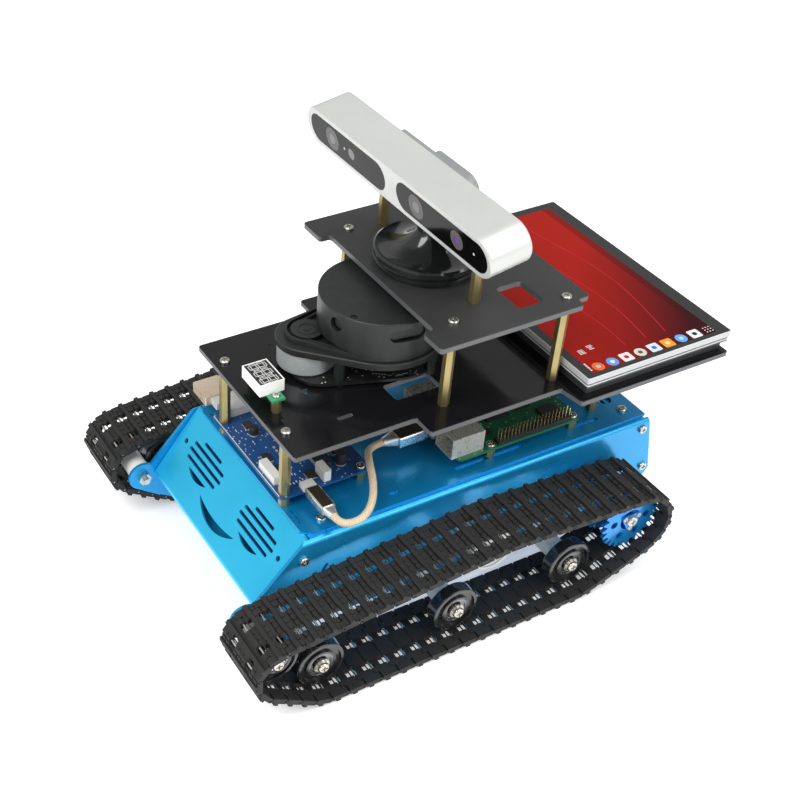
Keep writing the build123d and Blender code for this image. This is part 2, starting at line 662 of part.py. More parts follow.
camera_post = hex_post(POST_AF, BRIDGE_Z - UPPER_DECK - ACRYLIC)
group([at(x, y, UPPER_DECK + ACRYLIC) * camera_post for x, y in CAMERA_POSTS], "camera_standoffs")

deck_screw = pan_screw(2.9, 1.9, 1.2, ACRYLIC + 4.0)
board_screw = pan_screw(2.6, 1.6, 1.2, BOARD + 2.0)
meter_screw = pan_screw(2.2, 1.4, 0.85, 4.5)
screws = [at(x, y, LOWER_DECK + ACRYLIC) * deck_screw for x, y in DECK_POSTS]
screws += [at(x, y, UPPER_DECK + ACRYLIC) * deck_screw for x, y in UPPER_POSTS]
screws += [at(x, y, BRIDGE_Z + ACRYLIC) * deck_screw for x, y in CAMERA_POSTS]
screws += [at(x, y, BOARD_TOP) * board_screw for x, y in BOARD_HOLES[2:] + COMPUTER_HOLES]
screws += [at(x, y, METER_Z + 1.4) * meter_screw for x, y in METER_POSTS]
group(screws, "deck_screws")

chassis_screw = pan_screw(2.8, 1.8, 1.5, 5.0)
screws = [at(s * x, y) * chassis_screw for x, y in TOP_SCREWS for s in (-1, 1)]
edge_screw = pan_screw(2.8, 1.8, 1.5, SHEET + 0.2)
edge_screws = [side.offset(SIDE_OUT).location * Location((y, z, 0)) * edge_screw for y, z in SIDE_SCREWS]
group(screws + edge_screws + [mirrored(s) for s in edge_screws], "chassis_screws")

# ---- circuit boards -----------------------------------------------------------------------------
def board(x0, y0, x1, y1, z, holes, hole_r=1.5, corner_r=3.0):
    """A flat circuit board with rounded corners and round fixing holes."""
    with BuildPart() as slab:
        with BuildSketch(level.offset(z)):
            with Locations(((x0 + x1) / 2, (y0 + y1) / 2)):
                RectangleRounded(x1 - x0, y1 - y0, corner_r)
            with Locations(*holes):
                Circle(hole_r, mode=Mode.SUBTRACT)
        extrude(amount=BOARD)
    return slab.part


def block(x0, y0, x1, y1, z0, z1, round_r=0.0):
    """A box between two corners, its upright edges rounded if asked."""
    with BuildPart() as box:
        with BuildSketch(level.offset(z0)):
            with Locations(((x0 + x1) / 2, (y0 + y1) / 2)):
                Rectangle(x1 - x0, y1 - y0)
        extrude(amount=z1 - z0)
        if round_r:
            fillet(box.edges().filter_by(Axis.Z), round_r)
    return box.part


def post(x, y, z0, z1, r):
    with BuildPart() as can:
        with BuildSketch(level.offset(z0)):
            with Locations((x, y)):
                Circle(r)
        extrude(amount=z1 - z0)
        fillet(can.edges().group_by(Axis.Z)[-1], min(0.4, r / 4))
    return can.part


def socket(x0, y0, x1, y1, z0, z1, wall, mouth):
    """A sheet-metal connector shell, open on the side that mouth names."""
    with BuildPart() as shell:
        with BuildSketch(level.offset(z0)):
            with Locations(((x0 + x1) / 2, (y0 + y1) / 2)):
                Rectangle(x1 - x0, y1 - y0)
        extrude(amount=z1 - z0)
        faces = {"+x": shell.faces().sort_by(Axis.X)[-1], "-x": shell.faces().sort_by(Axis.X)[0],
                 "-y": shell.faces().sort_by(Axis.Y)[0]}
        depth = 0.75 * ((y1 - y0) if mouth == "-y" else (x1 - x0))
        with BuildSketch(Plane(faces[mouth])):
            across = (x1 - x0) if mouth == "-y" else (y1 - y0)
            wide = Plane(faces[mouth]).x_dir
            flat = abs(wide.Z) < 0.5
            Rectangle((across if flat else z1 - z0) - 2 * wall, ((z1 - z0) if flat else across) - 2 * wall)
        extrude(amount=-depth, mode=Mode.SUBTRACT)
    return shell.part


keep(board(-44, -1, 38.5, 56, BOARD_GAP, BOARD_HOLES), "expansion_board")

top = BOARD_TOP
chips = [block(-9, 22, 5, 36, top, top + 1.6), block(14, 30, 24, 37, top, top + 1.7),
         block(-30, 26, -20, 33, top, top + 1.7), block(14, 8, 22, 14, top, top + 1.6),
         block(-28, 10, -22, 15, top, top + 1.5), block(2, 6, 9, 11, top, top + 1.6),
         block(26, 20, 32, 25, top, top + 2.2), block(-14, 40, -6, 45, top, top + 1.6),
         block(8, 42, 20, 50, top, top + 3.0), block(-34, 36, -25, 45, top, top + 4.0),
         post(27, 43, top, top + 7.7, 3.2), post(27, 34.2, top, top + 5.5, 2.6),
         post(-17, 12, top, top + 5.5, 2.6)]
for row in range(7):
    chips.append(block(-2 + 3.2 * row, 16, -0.4 + 3.2 * row, 17, top, top + 0.6))
    chips.append(block(-16 + 3.2 * row, 37.6, -14.4 + 3.2 * row, 38.4, top, top + 0.6))
group(chips, "expansion_chips")

connectors = [socket(33.6, 12.8, 39.5, 20.6, top, top + 2.9, 0.45, "+x"),
              socket(-44.5, 7.0, -36.5, 20.5, top, top + 5.4, 0.5, "-x")]
connectors += [block(-20 + 9 * n, 47.5, -13.5 + 9 * n, 54.5, top, top + 6.5, 0.3) for n in range(3)]
connectors += [block(27, 26.5, 37, 31.0, top, top + 7.0, 0.3), block(9.5, 1.0, 27.0, 6.0, top, top + 5.0, 0.3)]
connectors += [block(-42, 24 + 8 * n, -35.5, 30.5 + 8 * n, top, top + 6.0, 0.3) for n in range(2)]
group(connectors, "expansion_connectors")

keep(board(-0.5, 102.5, 55.5, 187.5, BOARD_GAP, COMPUTER_HOLES), "computer_board")
group([socket(37.2, 98.8, 53.2, 120.3, top, top + 13.5, 0.6, "-y"),
       socket(19.9, 99.6, 33.1, 117.0, top, top + 7.8, 0.6, "-y"),
       socket(19.9, 99.6, 33.1, 117.0, top + 7.8, top + 15.6, 0.6, "-y"),
       socket(1.9, 99.6, 15.1, 117.0, top, top + 7.8, 0.6, "-y"),
       socket(1.9, 99.6, 15.1, 117.0, top + 7.8, top + 15.6, 0.6, "-y")], "computer_ports")
group([block(20, 136, 35, 151, top, top + 2.2), block(22, 158, 33, 168, top, top + 1.2),
       block(8, 122, 17, 131, top, top + 1.2), block(38, 168, 48, 180, top, top + 1.6, 0.4),
       block(22, 122, 30, 130, top, top + 1.0), block(39, 128, 44, 133, top, top + 1.0)],
      "computer_chips")

with BuildPart() as header_base:
    add(block(49.9, 130, 54.9, 181, top, top + 2.5))
header_pins = [block(51.1 + 2.54 * c - 0.3, 131.5 + 2.54 * n - 0.3, 51.1 + 2.54 * c + 0.3,
                     131.5 + 2.54 * n + 0.3, top + 2.5, top + 8.5) for c in range(2) for n in range(20)]
group([header_base.part] + header_pins, "computer_header")

# ---- plugs and the braided lead -----------------------------------------------------------------
CABLE_R = 2.1
PLUG_X, PLUG_Z = 26.5, BOARD_TOP + 4.0          # USB plug in the computer's lower port
MICRO_Y, MICRO_Z = 16.7, BOARD_TOP + 1.45
cable_route = [(64.5, MICRO_Y, MICRO_Z), (70.3, MICRO_Y, MICRO_Z), (74.2, 22.0, 9.6), (73.5, 30.5, 10.5),
               (64.8, 40.6, 11.0), (52.0, 48.3, 12.2), (39.5, 53.0, 14.5), (PLUG_X, 60.5, PLUG_Z),
               (PLUG_X, 70.0, PLUG_Z)]


def tangent_radii(points):
    """The largest arcs that the runs beside each corner allow."""
    spots = [Vector(*p) for p in points]
    radii = []
    for before, here, after in zip(spots, spots[1:], spots[2:]):
        shorter = min((here - before).length, (after - here).length)
        turn = (here - before).get_angle(after - here)
        radii.append(0.45 * shorter / tan(radians(turn / 2)))
    return radii


radii = tangent_radii(cable_route)
print("cable radii", [round(r, 1) for r in radii])
with BuildPart() as usb_cable:
    with BuildLine(level) as lead:
        FilletPolyline(*cable_route, radius=radii)
    path = lead.wires()[0]
    with BuildSketch(Plane(origin=path @ 0, z_dir=path % 0)):
        Circle(CABLE_R)
    sweep(path=path)
print("cable length", round(path.length, 1), "volume ratio",
      round(usb_cable.part.volume / (pi * CABLE_R ** 2 * path.length), 4))
keep(usb_cable.part, "usb_cable")

with BuildPart() as micro_plug:
    with BuildSketch(side.offset(41.5)):
        with Locations((MICRO_Y, MICRO_Z)):
            RectangleRounded(8.4, 6.2, 1.4)
    extrude(amount=17)
    with BuildSketch(side.offset(58.5)) as shell_end:
        with Locations((MICRO_Y, MICRO_Z)):
            RectangleRounded(7.0, 5.0, 1.2)
    with BuildSketch(side.offset(cable_route[0][0])) as boot_end:
        with Locations((MICRO_Y, MICRO_Z)):
            Circle(CABLE_R + 0.35)
    loft(sections=[shell_end.sketch, boot_end.sketch])
    with BuildSketch(side.offset(41.5)):
        with Locations((MICRO_Y, MICRO_Z)):
            RectangleRounded(6.8, 1.8, 0.5)
    extrude(amount=-6.0)
keep(micro_plug.part, "micro_plug")

with BuildPart() as usb_plug:
    with BuildSketch(facing.offset(-78)):
        with Locations((PLUG_X, PLUG_Z)):
            RectangleRounded(12.0, 8.0, 1.6)
    extrude(amount=-17)
    with BuildSketch(facing.offset(-78)) as shell_end:
        with Locations((PLUG_X, PLUG_Z)):
            RectangleRounded(8.5, 6.4, 1.5)
    with BuildSketch(facing.offset(-70)) as boot_end:
        with Locations((PLUG_X, PLUG_Z)):
            Circle(CABLE_R + 0.35)
    loft(sections=[shell_end.sketch, boot_end.sketch])
    with BuildSketch(facing.offset(-95)):
        with Locations((PLUG_X, PLUG_Z)):
            RectangleRounded(11.6, 4.5, 0.5)
    extrude(amount=-14)
keep(usb_plug.part, "usb_plug")

with BuildPart() as side_plug:
    add(block(-70, -0.5, -53, 16.0, BOARD_TOP - 0.2, BOARD_TOP + 5.6, 1.0))
    add(block(-53, 8.2, -39, 19.3, BOARD_TOP + 0.6, BOARD_TOP + 4.8, 0.0))
    add(block(-53, 3.0, -45.5, 19.3, BOARD_TOP + 0.6, BOARD_TOP + 4.8, 0.4))
keep(side_plug.part, "side_plug")

# ---- voltage meter ------------------------------------------------------------------------------
with BuildPart() as meter_housing:
    add(block(-13.2, 3.2, 19.8, 10.8, METER_Z, METER_Z + 1.4))
    with BuildSketch(level.offset(METER_Z)):
        with Locations(*METER_POSTS):
            Circle(1.0)
    extrude(amount=1.4, mode=Mode.SUBTRACT)
with BuildPart() as meter_body:
    add(block(-6.8, -1.2, 13.7, 13.6, METER_Z + 1.4, METER_Z + 8.6, 0.4))
    with BuildSketch(level.offset(METER_Z + 8.6)):
        with Locations((3.45, 6.2)):
            Rectangle(19.3, 13.6)
    extrude(amount=-0.3, mode=Mode.SUBTRACT)
group([meter_housing.part, meter_body.part], "meter_housing")

# ---- range finder -------------------------------------------------------------------------------
BASE_Z = 66.0
TURRET_Z = 73.8
TURRET_TOP = 94.5
DRUM_R = 30.0
PULLEY_R = 7.6
LEGS = [(-24.0, 99.0), (24.0, 99.0), (10.6, 49.0), (-24.0, 62.0)]

with BuildPart() as lidar_board:
    with BuildSketch(level.offset(50.7)):
        with Locations((-0.5, 88)):
            Circle(27.5)
        with Locations((-4, 46)):
            Circle(17)
        make_hull()
    extrude(amount=BOARD)
    with BuildSketch(level.offset(50.7)):
        with Locations(*LEGS):
            Circle(3.2)
    extrude(amount=BOARD, mode=Mode.SUBTRACT)
keep(lidar_board.part, "lidar_board")

with BuildPart() as lidar_base:
    with BuildSketch(level.offset(BASE_Z)) as base_outline:
        with Locations(LIDAR_AXIS):
            Circle(35.5)
        with Locations(PULLEY_AXIS):
            Circle(17.3)
        make_hull()
    extrude(amount=4.0)
    fillet(lidar_base.edges().group_by(Axis.Z)[-1], 0.8)
    with BuildSketch(level.offset(BASE_Z + 4.0)) as wall_outline:
        with Locations(LIDAR_AXIS):
            Circle(33.6)
        with Locations(PULLEY_AXIS):
            Circle(12.2)
        make_hull()
        offset(amount=-1.3, mode=Mode.SUBTRACT)
    extrude(amount=3.2)
    with BuildSketch(level.offset(49.2)):
        with Locations(*LEGS):
            Circle(3.0)
    extrude(amount=BASE_Z - 49.2)
    with BuildSketch(level.offset(BASE_Z - 6)):
        with Locations((0, 84)):
            Circle(26)
            Circle(24, mode=Mode.SUBTRACT)
    extrude(amount=6)
    with BuildSketch(level.offset(BASE_Z - 7)):
        with Locations(LIDAR_AXIS, PULLEY_AXIS):
            Circle(1.6)
    extrude(amount=12, mode=Mode.SUBTRACT)
keep(lidar_base.part, "lidar_base")

with BuildPart() as lidar_motor:
    with BuildSketch(level.offset(52.6)):
        with Locations(PULLEY_AXIS):
            Circle(16.2)
    extrude(amount=BASE_Z - 52.6)
    fillet(lidar_motor.edges().group_by(Axis.Z)[0], 1.0)
    with BuildSketch(level.offset(52.6)):
        with Locations(LEGS[2], LEGS[3]):
            Circle(3.4)
        with Locations(PULLEY_AXIS):
            Circle(1.6)
        with Locations((0, 84)):
            Circle(26.4)
    extrude(amount=20, mode=Mode.SUBTRACT)
keep(lidar_motor.part, "lidar_motor")

with BuildPart() as lidar_pulley:
    with BuildSketch(level.offset(70.4)):
        with Locations(PULLEY_AXIS):
            Circle(PULLEY_R)
    extrude(amount=2.2)
    with BuildSketch(level.offset(72.6)):
        with Locations(PULLEY_AXIS):
            Circle(9.0)
    extrude(amount=0.6)
    with BuildSketch(level.offset(73.2)):
        with Locations(PULLEY_AXIS):
            Circle(5.6)
            Circle(4.4, mode=Mode.SUBTRACT)
            Circle(2.0)
    extrude(amount=0.3)
    with BuildSketch(level.offset(70.4)):
        with Locations(PULLEY_AXIS):
            Circle(1.5)
    extrude(amount=-10)
keep(lidar_pulley.part, "lidar_pulley")

with BuildPart() as lidar_belt:
    with BuildSketch(level.offset(70.8)):
        with Locations(LIDAR_AXIS):
            Circle(DRUM_R + 1.3)
        with Locations(PULLEY_AXIS):
            Circle(PULLEY_R + 1.3)
        make_hull()
        offset(amount=-1.1, mode=Mode.SUBTRACT)
    extrude(amount=1.5)
keep(lidar_belt.part, "lidar_belt")

WINDOW_Z = 87.0
with BuildPart() as lidar_turret:
    with BuildSketch(level.offset(TURRET_Z)):
        with Locations(LIDAR_AXIS):
            Circle(LIDAR_R)
    extrude(amount=TURRET_TOP - TURRET_Z)
    fillet(lidar_turret.edges().group_by(Axis.Z)[-1], 0.9)
    with BuildSketch(level.offset(TURRET_Z + 2)):
        with Locations(LIDAR_AXIS):
            Circle(LIDAR_R - 2)
    extrude(amount=TURRET_TOP - TURRET_Z - 4, mode=Mode.SUBTRACT)
    with BuildSketch(level.offset(70.4)):
        with Locations(LIDAR_AXIS):
            Circle(DRUM_R)
    extrude(amount=TURRET_Z - 70.4)
    with BuildSketch(level.offset(70.4)):
        with Locations(LIDAR_AXIS):
            Circle(1.5)
    extrude(amount=-10)
    for turn, wide, high in ((14, 8.0, 8.0), (82, 20.0, 7.5)):
        window = Plane(origin=(LIDAR_AXIS[0], CHASSIS_FRONT + LIDAR_AXIS[1], CHASSIS_TOP + WINDOW_Z),
                       x_dir=(cos(radians(turn)), sin(radians(turn)), 0),
                       z_dir=(sin(radians(turn)), -cos(radians(turn)), 0))
        with BuildSketch(window.offset(LIDAR_R - 9)):
            RectangleRounded(wide, high, high / 2 - 0.1)
        extrude(amount=12, mode=Mode.SUBTRACT)
        with BuildSketch(window.offset(LIDAR_R - 12)):
            RectangleRounded(wide - 1, high - 1, high / 2 - 0.6)
        extrude(amount=9.5)
        with BuildSketch(window.offset(4)):
            Rectangle(wide + 3, high + 3)
        extrude(amount=LIDAR_R - 15)
        with BuildSketch(window.offset(4)):
            with Locations((0, (TURRET_Z - WINDOW_Z) / 2)):
                Rectangle(6, WINDOW_Z - TURRET_Z - 2)
        extrude(amount=6)
    with BuildSketch(level.offset(TURRET_TOP - 1.0)):
        with Locations((16, 52.5), (-14, 101)):
            Circle(1.9)
    extrude(amount=2, mode=Mode.SUBTRACT)
keep(lidar_turret.part, "lidar_turret")

# ---- depth camera on its pedestal ---------------------------------------------------------------
px, py = PEDESTAL_AXIS
DECK_TOP = UPPER_DECK + ACRYLIC
with BuildPart() as camera_pedestal:
    with BuildSketch(Plane(origin=(px, CHASSIS_FRONT + py, CHASSIS_TOP), x_dir=(1, 0, 0), z_dir=(0, -1, 0))):
        with BuildLine():
            Polyline((0, 126), (7, 126), (7, 121.5))
            ThreePointArc((7, 121.5), (15.5, 113.2), (28.6, 111.2))
            Polyline((28.6, 111.2), (29.8, 110.4), (29.8, 108.2), (28.6, 107.6), (28.6, 106.6), (29.8, 106.0),
                     (29.8, 104.6), (27.6, 104.0), (27.6, DECK_TOP), (0, DECK_TOP), (0, 126))
        make_face()
    revolve(axis=Axis((px, CHASSIS_FRONT + py, CHASSIS_TOP), (0, 0, 1)))
    with BuildSketch(side.offset(px - 3)):
        with Locations((HINGE[0], (HINGE[1] + 125) / 2)):
            Rectangle(6.4, HINGE[1] - 125)
        with Locations(HINGE):
            Circle(3.2)
            Circle(1.55, mode=Mode.SUBTRACT)
    extrude(amount=6)
keep(camera_pedestal.part, "camera_pedestal")

with BuildPart() as camera_bridge:
    with BuildSketch(level.offset(BRIDGE_Z)):
        with Locations((px, 112)):
            RectangleRounded(104, 15, 3)
        with Locations(*CAMERA_POSTS):
            Circle(1.5, mode=Mode.SUBTRACT)
        with Locations((px, py)):
            Circle(7.3, mode=Mode.SUBTRACT)
    extrude(amount=ACRYLIC)
    with BuildSketch(level.offset(BRIDGE_Z - 5)):
        with Locations((px, py)):
            Circle(7.3)
    extrude(amount=10, mode=Mode.SUBTRACT)
    with BuildSketch(level.offset(BRIDGE_Z - 5)):
        with Locations((px, py - 6)):
            Rectangle(8, 6)
    extrude(amount=12, mode=Mode.SUBTRACT)
keep(camera_bridge.part, "camera_bridge")

pitch = radians(CAMERA_PITCH)
bar = Plane(origin=(CAMERA_CENTRE[0], CHASSIS_FRONT + CAMERA_CENTRE[1], CHASSIS_TOP + CAMERA_CENTRE[2]),
            x_dir=(1, 0, 0), z_dir=(0, -cos(pitch), -sin(pitch)))
bar_long, bar_high, bar_deep = CAMERA_SIZE
WINDOWS = [(41.7 - CAMERA_CENTRE[0], 79.4), (-46.2 - CAMERA_CENTRE[0], 75.6)]
WINDOW_HIGH = 16.6
WINDOW_DEEP = 1.0

with BuildPart() as camera_body:
    with BuildSketch(bar.offset(-bar_deep / 2)):
        SlotOverall(bar_long, bar_high)
    extrude(amount=bar_deep)
    fillet(camera_body.faces().sort_by(Axis.Y)[0].edges(), 1.0)
    fillet(camera_body.faces().sort_by(Axis.Y)[-1].edges(), 1.6)
    with BuildSketch(bar.offset(bar_deep / 2)):
        for x, wide in WINDOWS:
            with Locations((x, 0)):
                SlotOverall(wide, WINDOW_HIGH)
    extrude(amount=-WINDOW_DEEP, mode=Mode.SUBTRACT)
keep(camera_body.part, "camera_body")

panes = []
for x, wide in WINDOWS:
    with BuildPart() as pane:
        with BuildSketch(bar.offset(bar_deep / 2 - WINDOW_DEEP)):
            with Locations((x, 0)):
                SlotOverall(wide - 0.1, WINDOW_HIGH - 0.1)
        extrude(amount=WINDOW_DEEP - 0.1)
    panes.append(pane.part)
group(panes, "camera_windows")

with BuildPart() as camera_bracket:
    with BuildSketch(bar.offset(-bar_deep / 2 - 4.5)):
        with Locations((-1.15, -11.0)):
            RectangleRounded(67.5, 37.0, 5.0)
    extrude(amount=4.5)
    with BuildSketch(bar.offset(-27.0)):
        with Locations((0.5, -10.5)):
            RectangleRounded(41.0, 18.0, 8.0)
    extrude(amount=27.0 - bar_deep / 2 - 4.5)
    for x in (px - 6.3, px + 3.3):
        with BuildSketch(side.offset(x)):
            with Locations(HINGE):
                Circle(3.0)
            with BuildLine():
                Polyline((HINGE[0], HINGE[1] - 1.4), (111.2, HINGE[1] - 0.6), (112.2, HINGE[1] + 5.6),
                         (HINGE[0], HINGE[1] + 2.8), (HINGE[0], HINGE[1] - 1.4))
            make_face()
        extrude(amount=3.0)
    with BuildSketch(side.offset(px - 6.3)):
        with Locations(HINGE):
            Circle(1.5)
    extrude(amount=12.6)
keep(camera_bracket.part, "camera_bracket")

# ---- display ------------------------------------------------------------------------------------
SCREEN = (-81.6, 161.5, 81.6, 263.2)
SCREEN_TOP = 60.6
x0, y0, x1, y1 = SCREEN
with BuildPart() as display_panel:
    add(block(x0, y0, x1, y1, SCREEN_TOP - 3.6, SCREEN_TOP, 1.2))
    chamfer(display_panel.faces().sort_by(Axis.Z)[-1].edges(), 0.35)
keep(display_panel.part, "display_panel")

case = [block(x0 + 0.8, y0 + 0.8, x1 - 0.8, y1 - 0.8, SCREEN_TOP - 5.2, SCREEN_TOP - 3.6, 1.2),
        block(x0 + 0.5, y0 + 0.5, x1 - 0.5, y1 - 0.5, SCREEN_TOP - 6.8, SCREEN_TOP - 5.2, 1.2),
        ]
with BuildPart() as driver_case:
    add(block(x0 + 2.0, y0 + 2.0, x1 - 2.0, 259.5, LOWER_DECK + ACRYLIC, SCREEN_TOP - 6.8, 1.2))
    with BuildSketch(level.offset(LOWER_DECK + ACRYLIC)):
        with Locations(*DECK_REAR_POSTS):
            Circle(3.4)
    extrude(amount=2.2, mode=Mode.SUBTRACT)
group(case + [driver_case.part], "display_case")
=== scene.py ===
import random
from math import cos, pi, radians, sin

import bmesh
import bpy
from mathutils import Matrix, Vector


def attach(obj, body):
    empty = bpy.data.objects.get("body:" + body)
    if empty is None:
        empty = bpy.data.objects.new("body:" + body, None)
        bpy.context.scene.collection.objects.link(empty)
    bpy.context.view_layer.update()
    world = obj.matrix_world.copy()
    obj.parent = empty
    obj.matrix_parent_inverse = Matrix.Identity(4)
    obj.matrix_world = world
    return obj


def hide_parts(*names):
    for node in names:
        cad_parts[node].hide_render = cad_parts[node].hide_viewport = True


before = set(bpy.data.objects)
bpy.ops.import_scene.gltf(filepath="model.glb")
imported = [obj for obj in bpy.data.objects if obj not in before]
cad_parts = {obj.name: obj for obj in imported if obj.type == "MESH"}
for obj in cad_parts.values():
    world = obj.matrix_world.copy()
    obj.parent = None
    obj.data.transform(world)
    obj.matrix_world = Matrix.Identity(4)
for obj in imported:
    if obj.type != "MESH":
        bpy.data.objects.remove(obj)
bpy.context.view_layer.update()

MM = 0.001
FRONT = -0.1040            # Y of the chassis front edge, in metres
TOP = 0.077631             # height of the chassis top, in metres


def place(x, y, z):
    """A point given in millimetres across, back from the chassis front and up from its top."""
    return Vector((x * MM, FRONT + y * MM, TOP + z * MM))


# ---- camera -------------------------------------------------------------------------------------
AZIMUTH, ELEVATION, ROLL = 60.31, 39.95, 1.59
DISTANCE = 0.7639
AIM = place(-0.39, 18.4, -0.98)
FOCAL_LENGTH = 61.13
SHIFT_X, SHIFT_Y = 0.1533, 0.0740

az, el, roll = radians(AZIMUTH), radians(ELEVATION), radians(ROLL)
back = Vector((sin(az) * cos(el), -cos(az) * cos(el), sin(el)))
right = (-back).cross(Vector((0, 0, 1))).normalized()
up = right.cross(-back)
right_rolled = right * cos(roll) + up * sin(roll)
up_rolled = up * cos(roll) - right * sin(roll)
eye = AIM + back * DISTANCE
lens = bpy.data.cameras.new("camera")
lens.lens = FOCAL_LENGTH
lens.sensor_width = 36.0
lens.shift_x = SHIFT_X
lens.shift_y = SHIFT_Y
lens.clip_start = 0.01
camera = bpy.data.objects.new("camera", lens)
bpy.context.scene.collection.objects.link(camera)
axes = Matrix((right_rolled, up_rolled, back)).transposed().to_4x4()
camera.matrix_world = Matrix.Translation(eye) @ axes
bpy.context.scene.camera = camera


# ---- materials ----------------------------------------------------------------------------------
class Surface:
    """A principled material with procedural colour variation, roughness variation and bump."""

    def __init__(self, name, colour, tint, rough, spread=0.08, metal=0.0, patch=40.0, grain=900.0,
                 bump=0.12, depth=0.0001, coat=0.0, specular=0.5, stretch=(1, 1, 1)):
        self.material = bpy.data.materials.new(name)
        self.material.use_nodes = True
        self.tree = self.material.node_tree
        self.shader = self.tree.nodes["Principled BSDF"]
        self.shader.inputs["Metallic"].default_value = metal
        self.shader.inputs["Coat Weight"].default_value = coat
        self.shader.inputs["Coat Roughness"].default_value = 0.06
        self.shader.inputs["Specular IOR Level"].default_value = specular
        self.where = self.tree.nodes.new("ShaderNodeTexCoord").outputs["Object"]
        mapping = self.tree.nodes.new("ShaderNodeMapping")
        mapping.inputs["Scale"].default_value = stretch
        self.tree.links.new(self.where, mapping.inputs["Vector"])
        self.mapped = mapping.outputs["Vector"]
        self.colour = self.mix(self.noise(patch), colour, tint)
        self.rough = self.remap(self.noise(patch * 3.1), rough - spread, rough + spread)
        bumper = self.tree.nodes.new("ShaderNodeBump")
        bumper.inputs["Strength"].default_value = bump
        bumper.inputs["Distance"].default_value = depth
        self.tree.links.new(self.noise(grain), bumper.inputs["Height"])
        self.tree.links.new(bumper.outputs["Normal"], self.shader.inputs["Normal"])
        self.wire()

    def wire(self):
        """Put the present colour and roughness on the shader."""
        self.tree.links.new(self.colour, self.shader.inputs["Base Color"])
        self.tree.links.new(self.rough, self.shader.inputs["Roughness"])

    def noise(self, scale):
        """Noise between zero and one, scale counting its patches in a metre."""
        node = self.tree.nodes.new("ShaderNodeTexNoise")
        node.inputs["Scale"].default_value = scale
        node.inputs["Detail"].default_value = 3.0
        self.tree.links.new(self.mapped, node.inputs["Vector"])
        return node.outputs["Fac"]

    def socket(self, value, target):
        """Link an output, or set a number or a colour, on an input."""
        if isinstance(value, bpy.types.NodeSocket):
            self.tree.links.new(value, target)
        else:
            target.default_value = value if isinstance(value, (int, float)) else (*value[:3], 1.0)

    def mix(self, factor, first, second):
        """A colour between two others."""
        node = self.tree.nodes.new("ShaderNodeMix")
        node.data_type = "RGBA"
        self.socket(factor, node.inputs["Factor"])
        self.socket(first, node.inputs[6])
        self.socket(second, node.inputs[7])
        return node.outputs[2]

    def math(self, operation, first, second=0.0):
        """One math operation on outputs or numbers."""
        node = self.tree.nodes.new("ShaderNodeMath")
        node.operation = operation
        self.socket(first, node.inputs[0])
        self.socket(second, node.inputs[1])
        return node.outputs[0]

    def remap(self, value, low, high, from_low=0.3, from_high=0.7):
        """Stretch a value from one range to another."""
        node = self.tree.nodes.new("ShaderNodeMapRange")
        self.socket(value, node.inputs["Value"])
        node.inputs["From Min"].default_value = from_low
        node.inputs["From Max"].default_value = from_high
        node.inputs["To Min"].default_value = max(0.02, low)
        node.inputs["To Max"].default_value = high
        return node.outputs["Result"]

    def axis(self, letter):
        """Where a point lies along an axis."""
        node = self.tree.nodes.new("ShaderNodeSeparateXYZ")
        self.tree.links.new(self.where, node.inputs[0])
        return node.outputs[letter]

    def facing(self, letter):
        """How much the surface faces along an axis."""
        geometry = self.tree.nodes.new("ShaderNodeNewGeometry")
        node = self.tree.nodes.new("ShaderNodeSeparateXYZ")
        self.tree.links.new(geometry.outputs["Normal"], node.inputs[0])
        return node.outputs[letter]

    def reach(self, centre):
        """Distance from an axle that runs along X through the centre."""
        away = self.tree.nodes.new("ShaderNodeVectorMath")
        away.operation = "SUBTRACT"
        self.tree.links.new(self.where, away.inputs[0])
        away.inputs[1].default_value = centre
        flat = self.tree.nodes.new("ShaderNodeVectorMath")
        flat.operation = "MULTIPLY"
        self.tree.links.new(away.outputs[0], flat.inputs[0])
        flat.inputs[1].default_value = (0, 1, 1)
        length = self.tree.nodes.new("ShaderNodeVectorMath")
        length.operation = "LENGTH"
        self.tree.links.new(flat.outputs[0], length.inputs[0])
        return length.outputs["Value"]

    def paint(self, mask, colour, rough=None, metal=None):
        """Another finish where the mask is one."""
        self.colour = self.mix(mask, self.colour, colour)
        if rough is not None:
            rest = self.math("MULTIPLY", self.rough, self.math("SUBTRACT", 1.0, mask))
            self.rough = self.math("ADD", rest, self.math("MULTIPLY", mask, rough))
        if metal is not None:
            self.tree.links.new(self.math("MULTIPLY", mask, metal), self.shader.inputs["Metallic"])
        self.wire()


def dress(node, surface):
    """Give a carried-over node its finish."""
    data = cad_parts[node].data
    for n in range(max(1, len(data.materials))):
        if n < len(data.materials):
            data.materials[n] = surface.material
        else:
            data.materials.append(surface.material)


def anodised(name, colour, tint, rough):
    """Dyed satin aluminium."""
    return Surface(name, colour, tint, rough, spread=0.05, metal=0.55, patch=18, grain=2600, bump=0.10,
                   depth=0.00004, coat=0.25)


# One blue anodised finish in three copies, as painted light and shade: painted lighter on the front panel,
# painted darker on the side plates and rear panel, and darkest on the top and bottom plates.
blue_front = anodised("blue_front", (0.016, 0.50, 0.82), (0.03, 0.56, 0.88), 0.36)
blue_side = anodised("blue_side", (0.006, 0.30, 0.66), (0.014, 0.38, 0.76), 0.28)
blue_top = anodised("blue_top", (0.004, 0.24, 0.56), (0.01, 0.33, 0.68), 0.3)
for node, surface in (("front_panel", blue_front), ("side_plate_left", blue_side),
                      ("side_plate_right", blue_side), ("top_plate", blue_top),
                      ("bottom_plate", blue_top), ("rear_panel", blue_side)):
    dress(node, surface)

track_surface = Surface("track_nylon", (0.012, 0.012, 0.012), (0.024, 0.023, 0.022), 0.6, spread=0.1,
                        patch=120, grain=1500, bump=0.35, depth=0.0002, specular=0.35)
for side in ("left", "right"):
    dress(f"track_{side}", track_surface)

steel = Surface("plated_steel", (0.55, 0.53, 0.48), (0.72, 0.70, 0.64), 0.24, metal=1.0, patch=200,
                grain=3000, bump=0.08)
for node in ("track_pins", "axle_bolts", "chassis_screws", "deck_screws"):
    dress(node, steel)

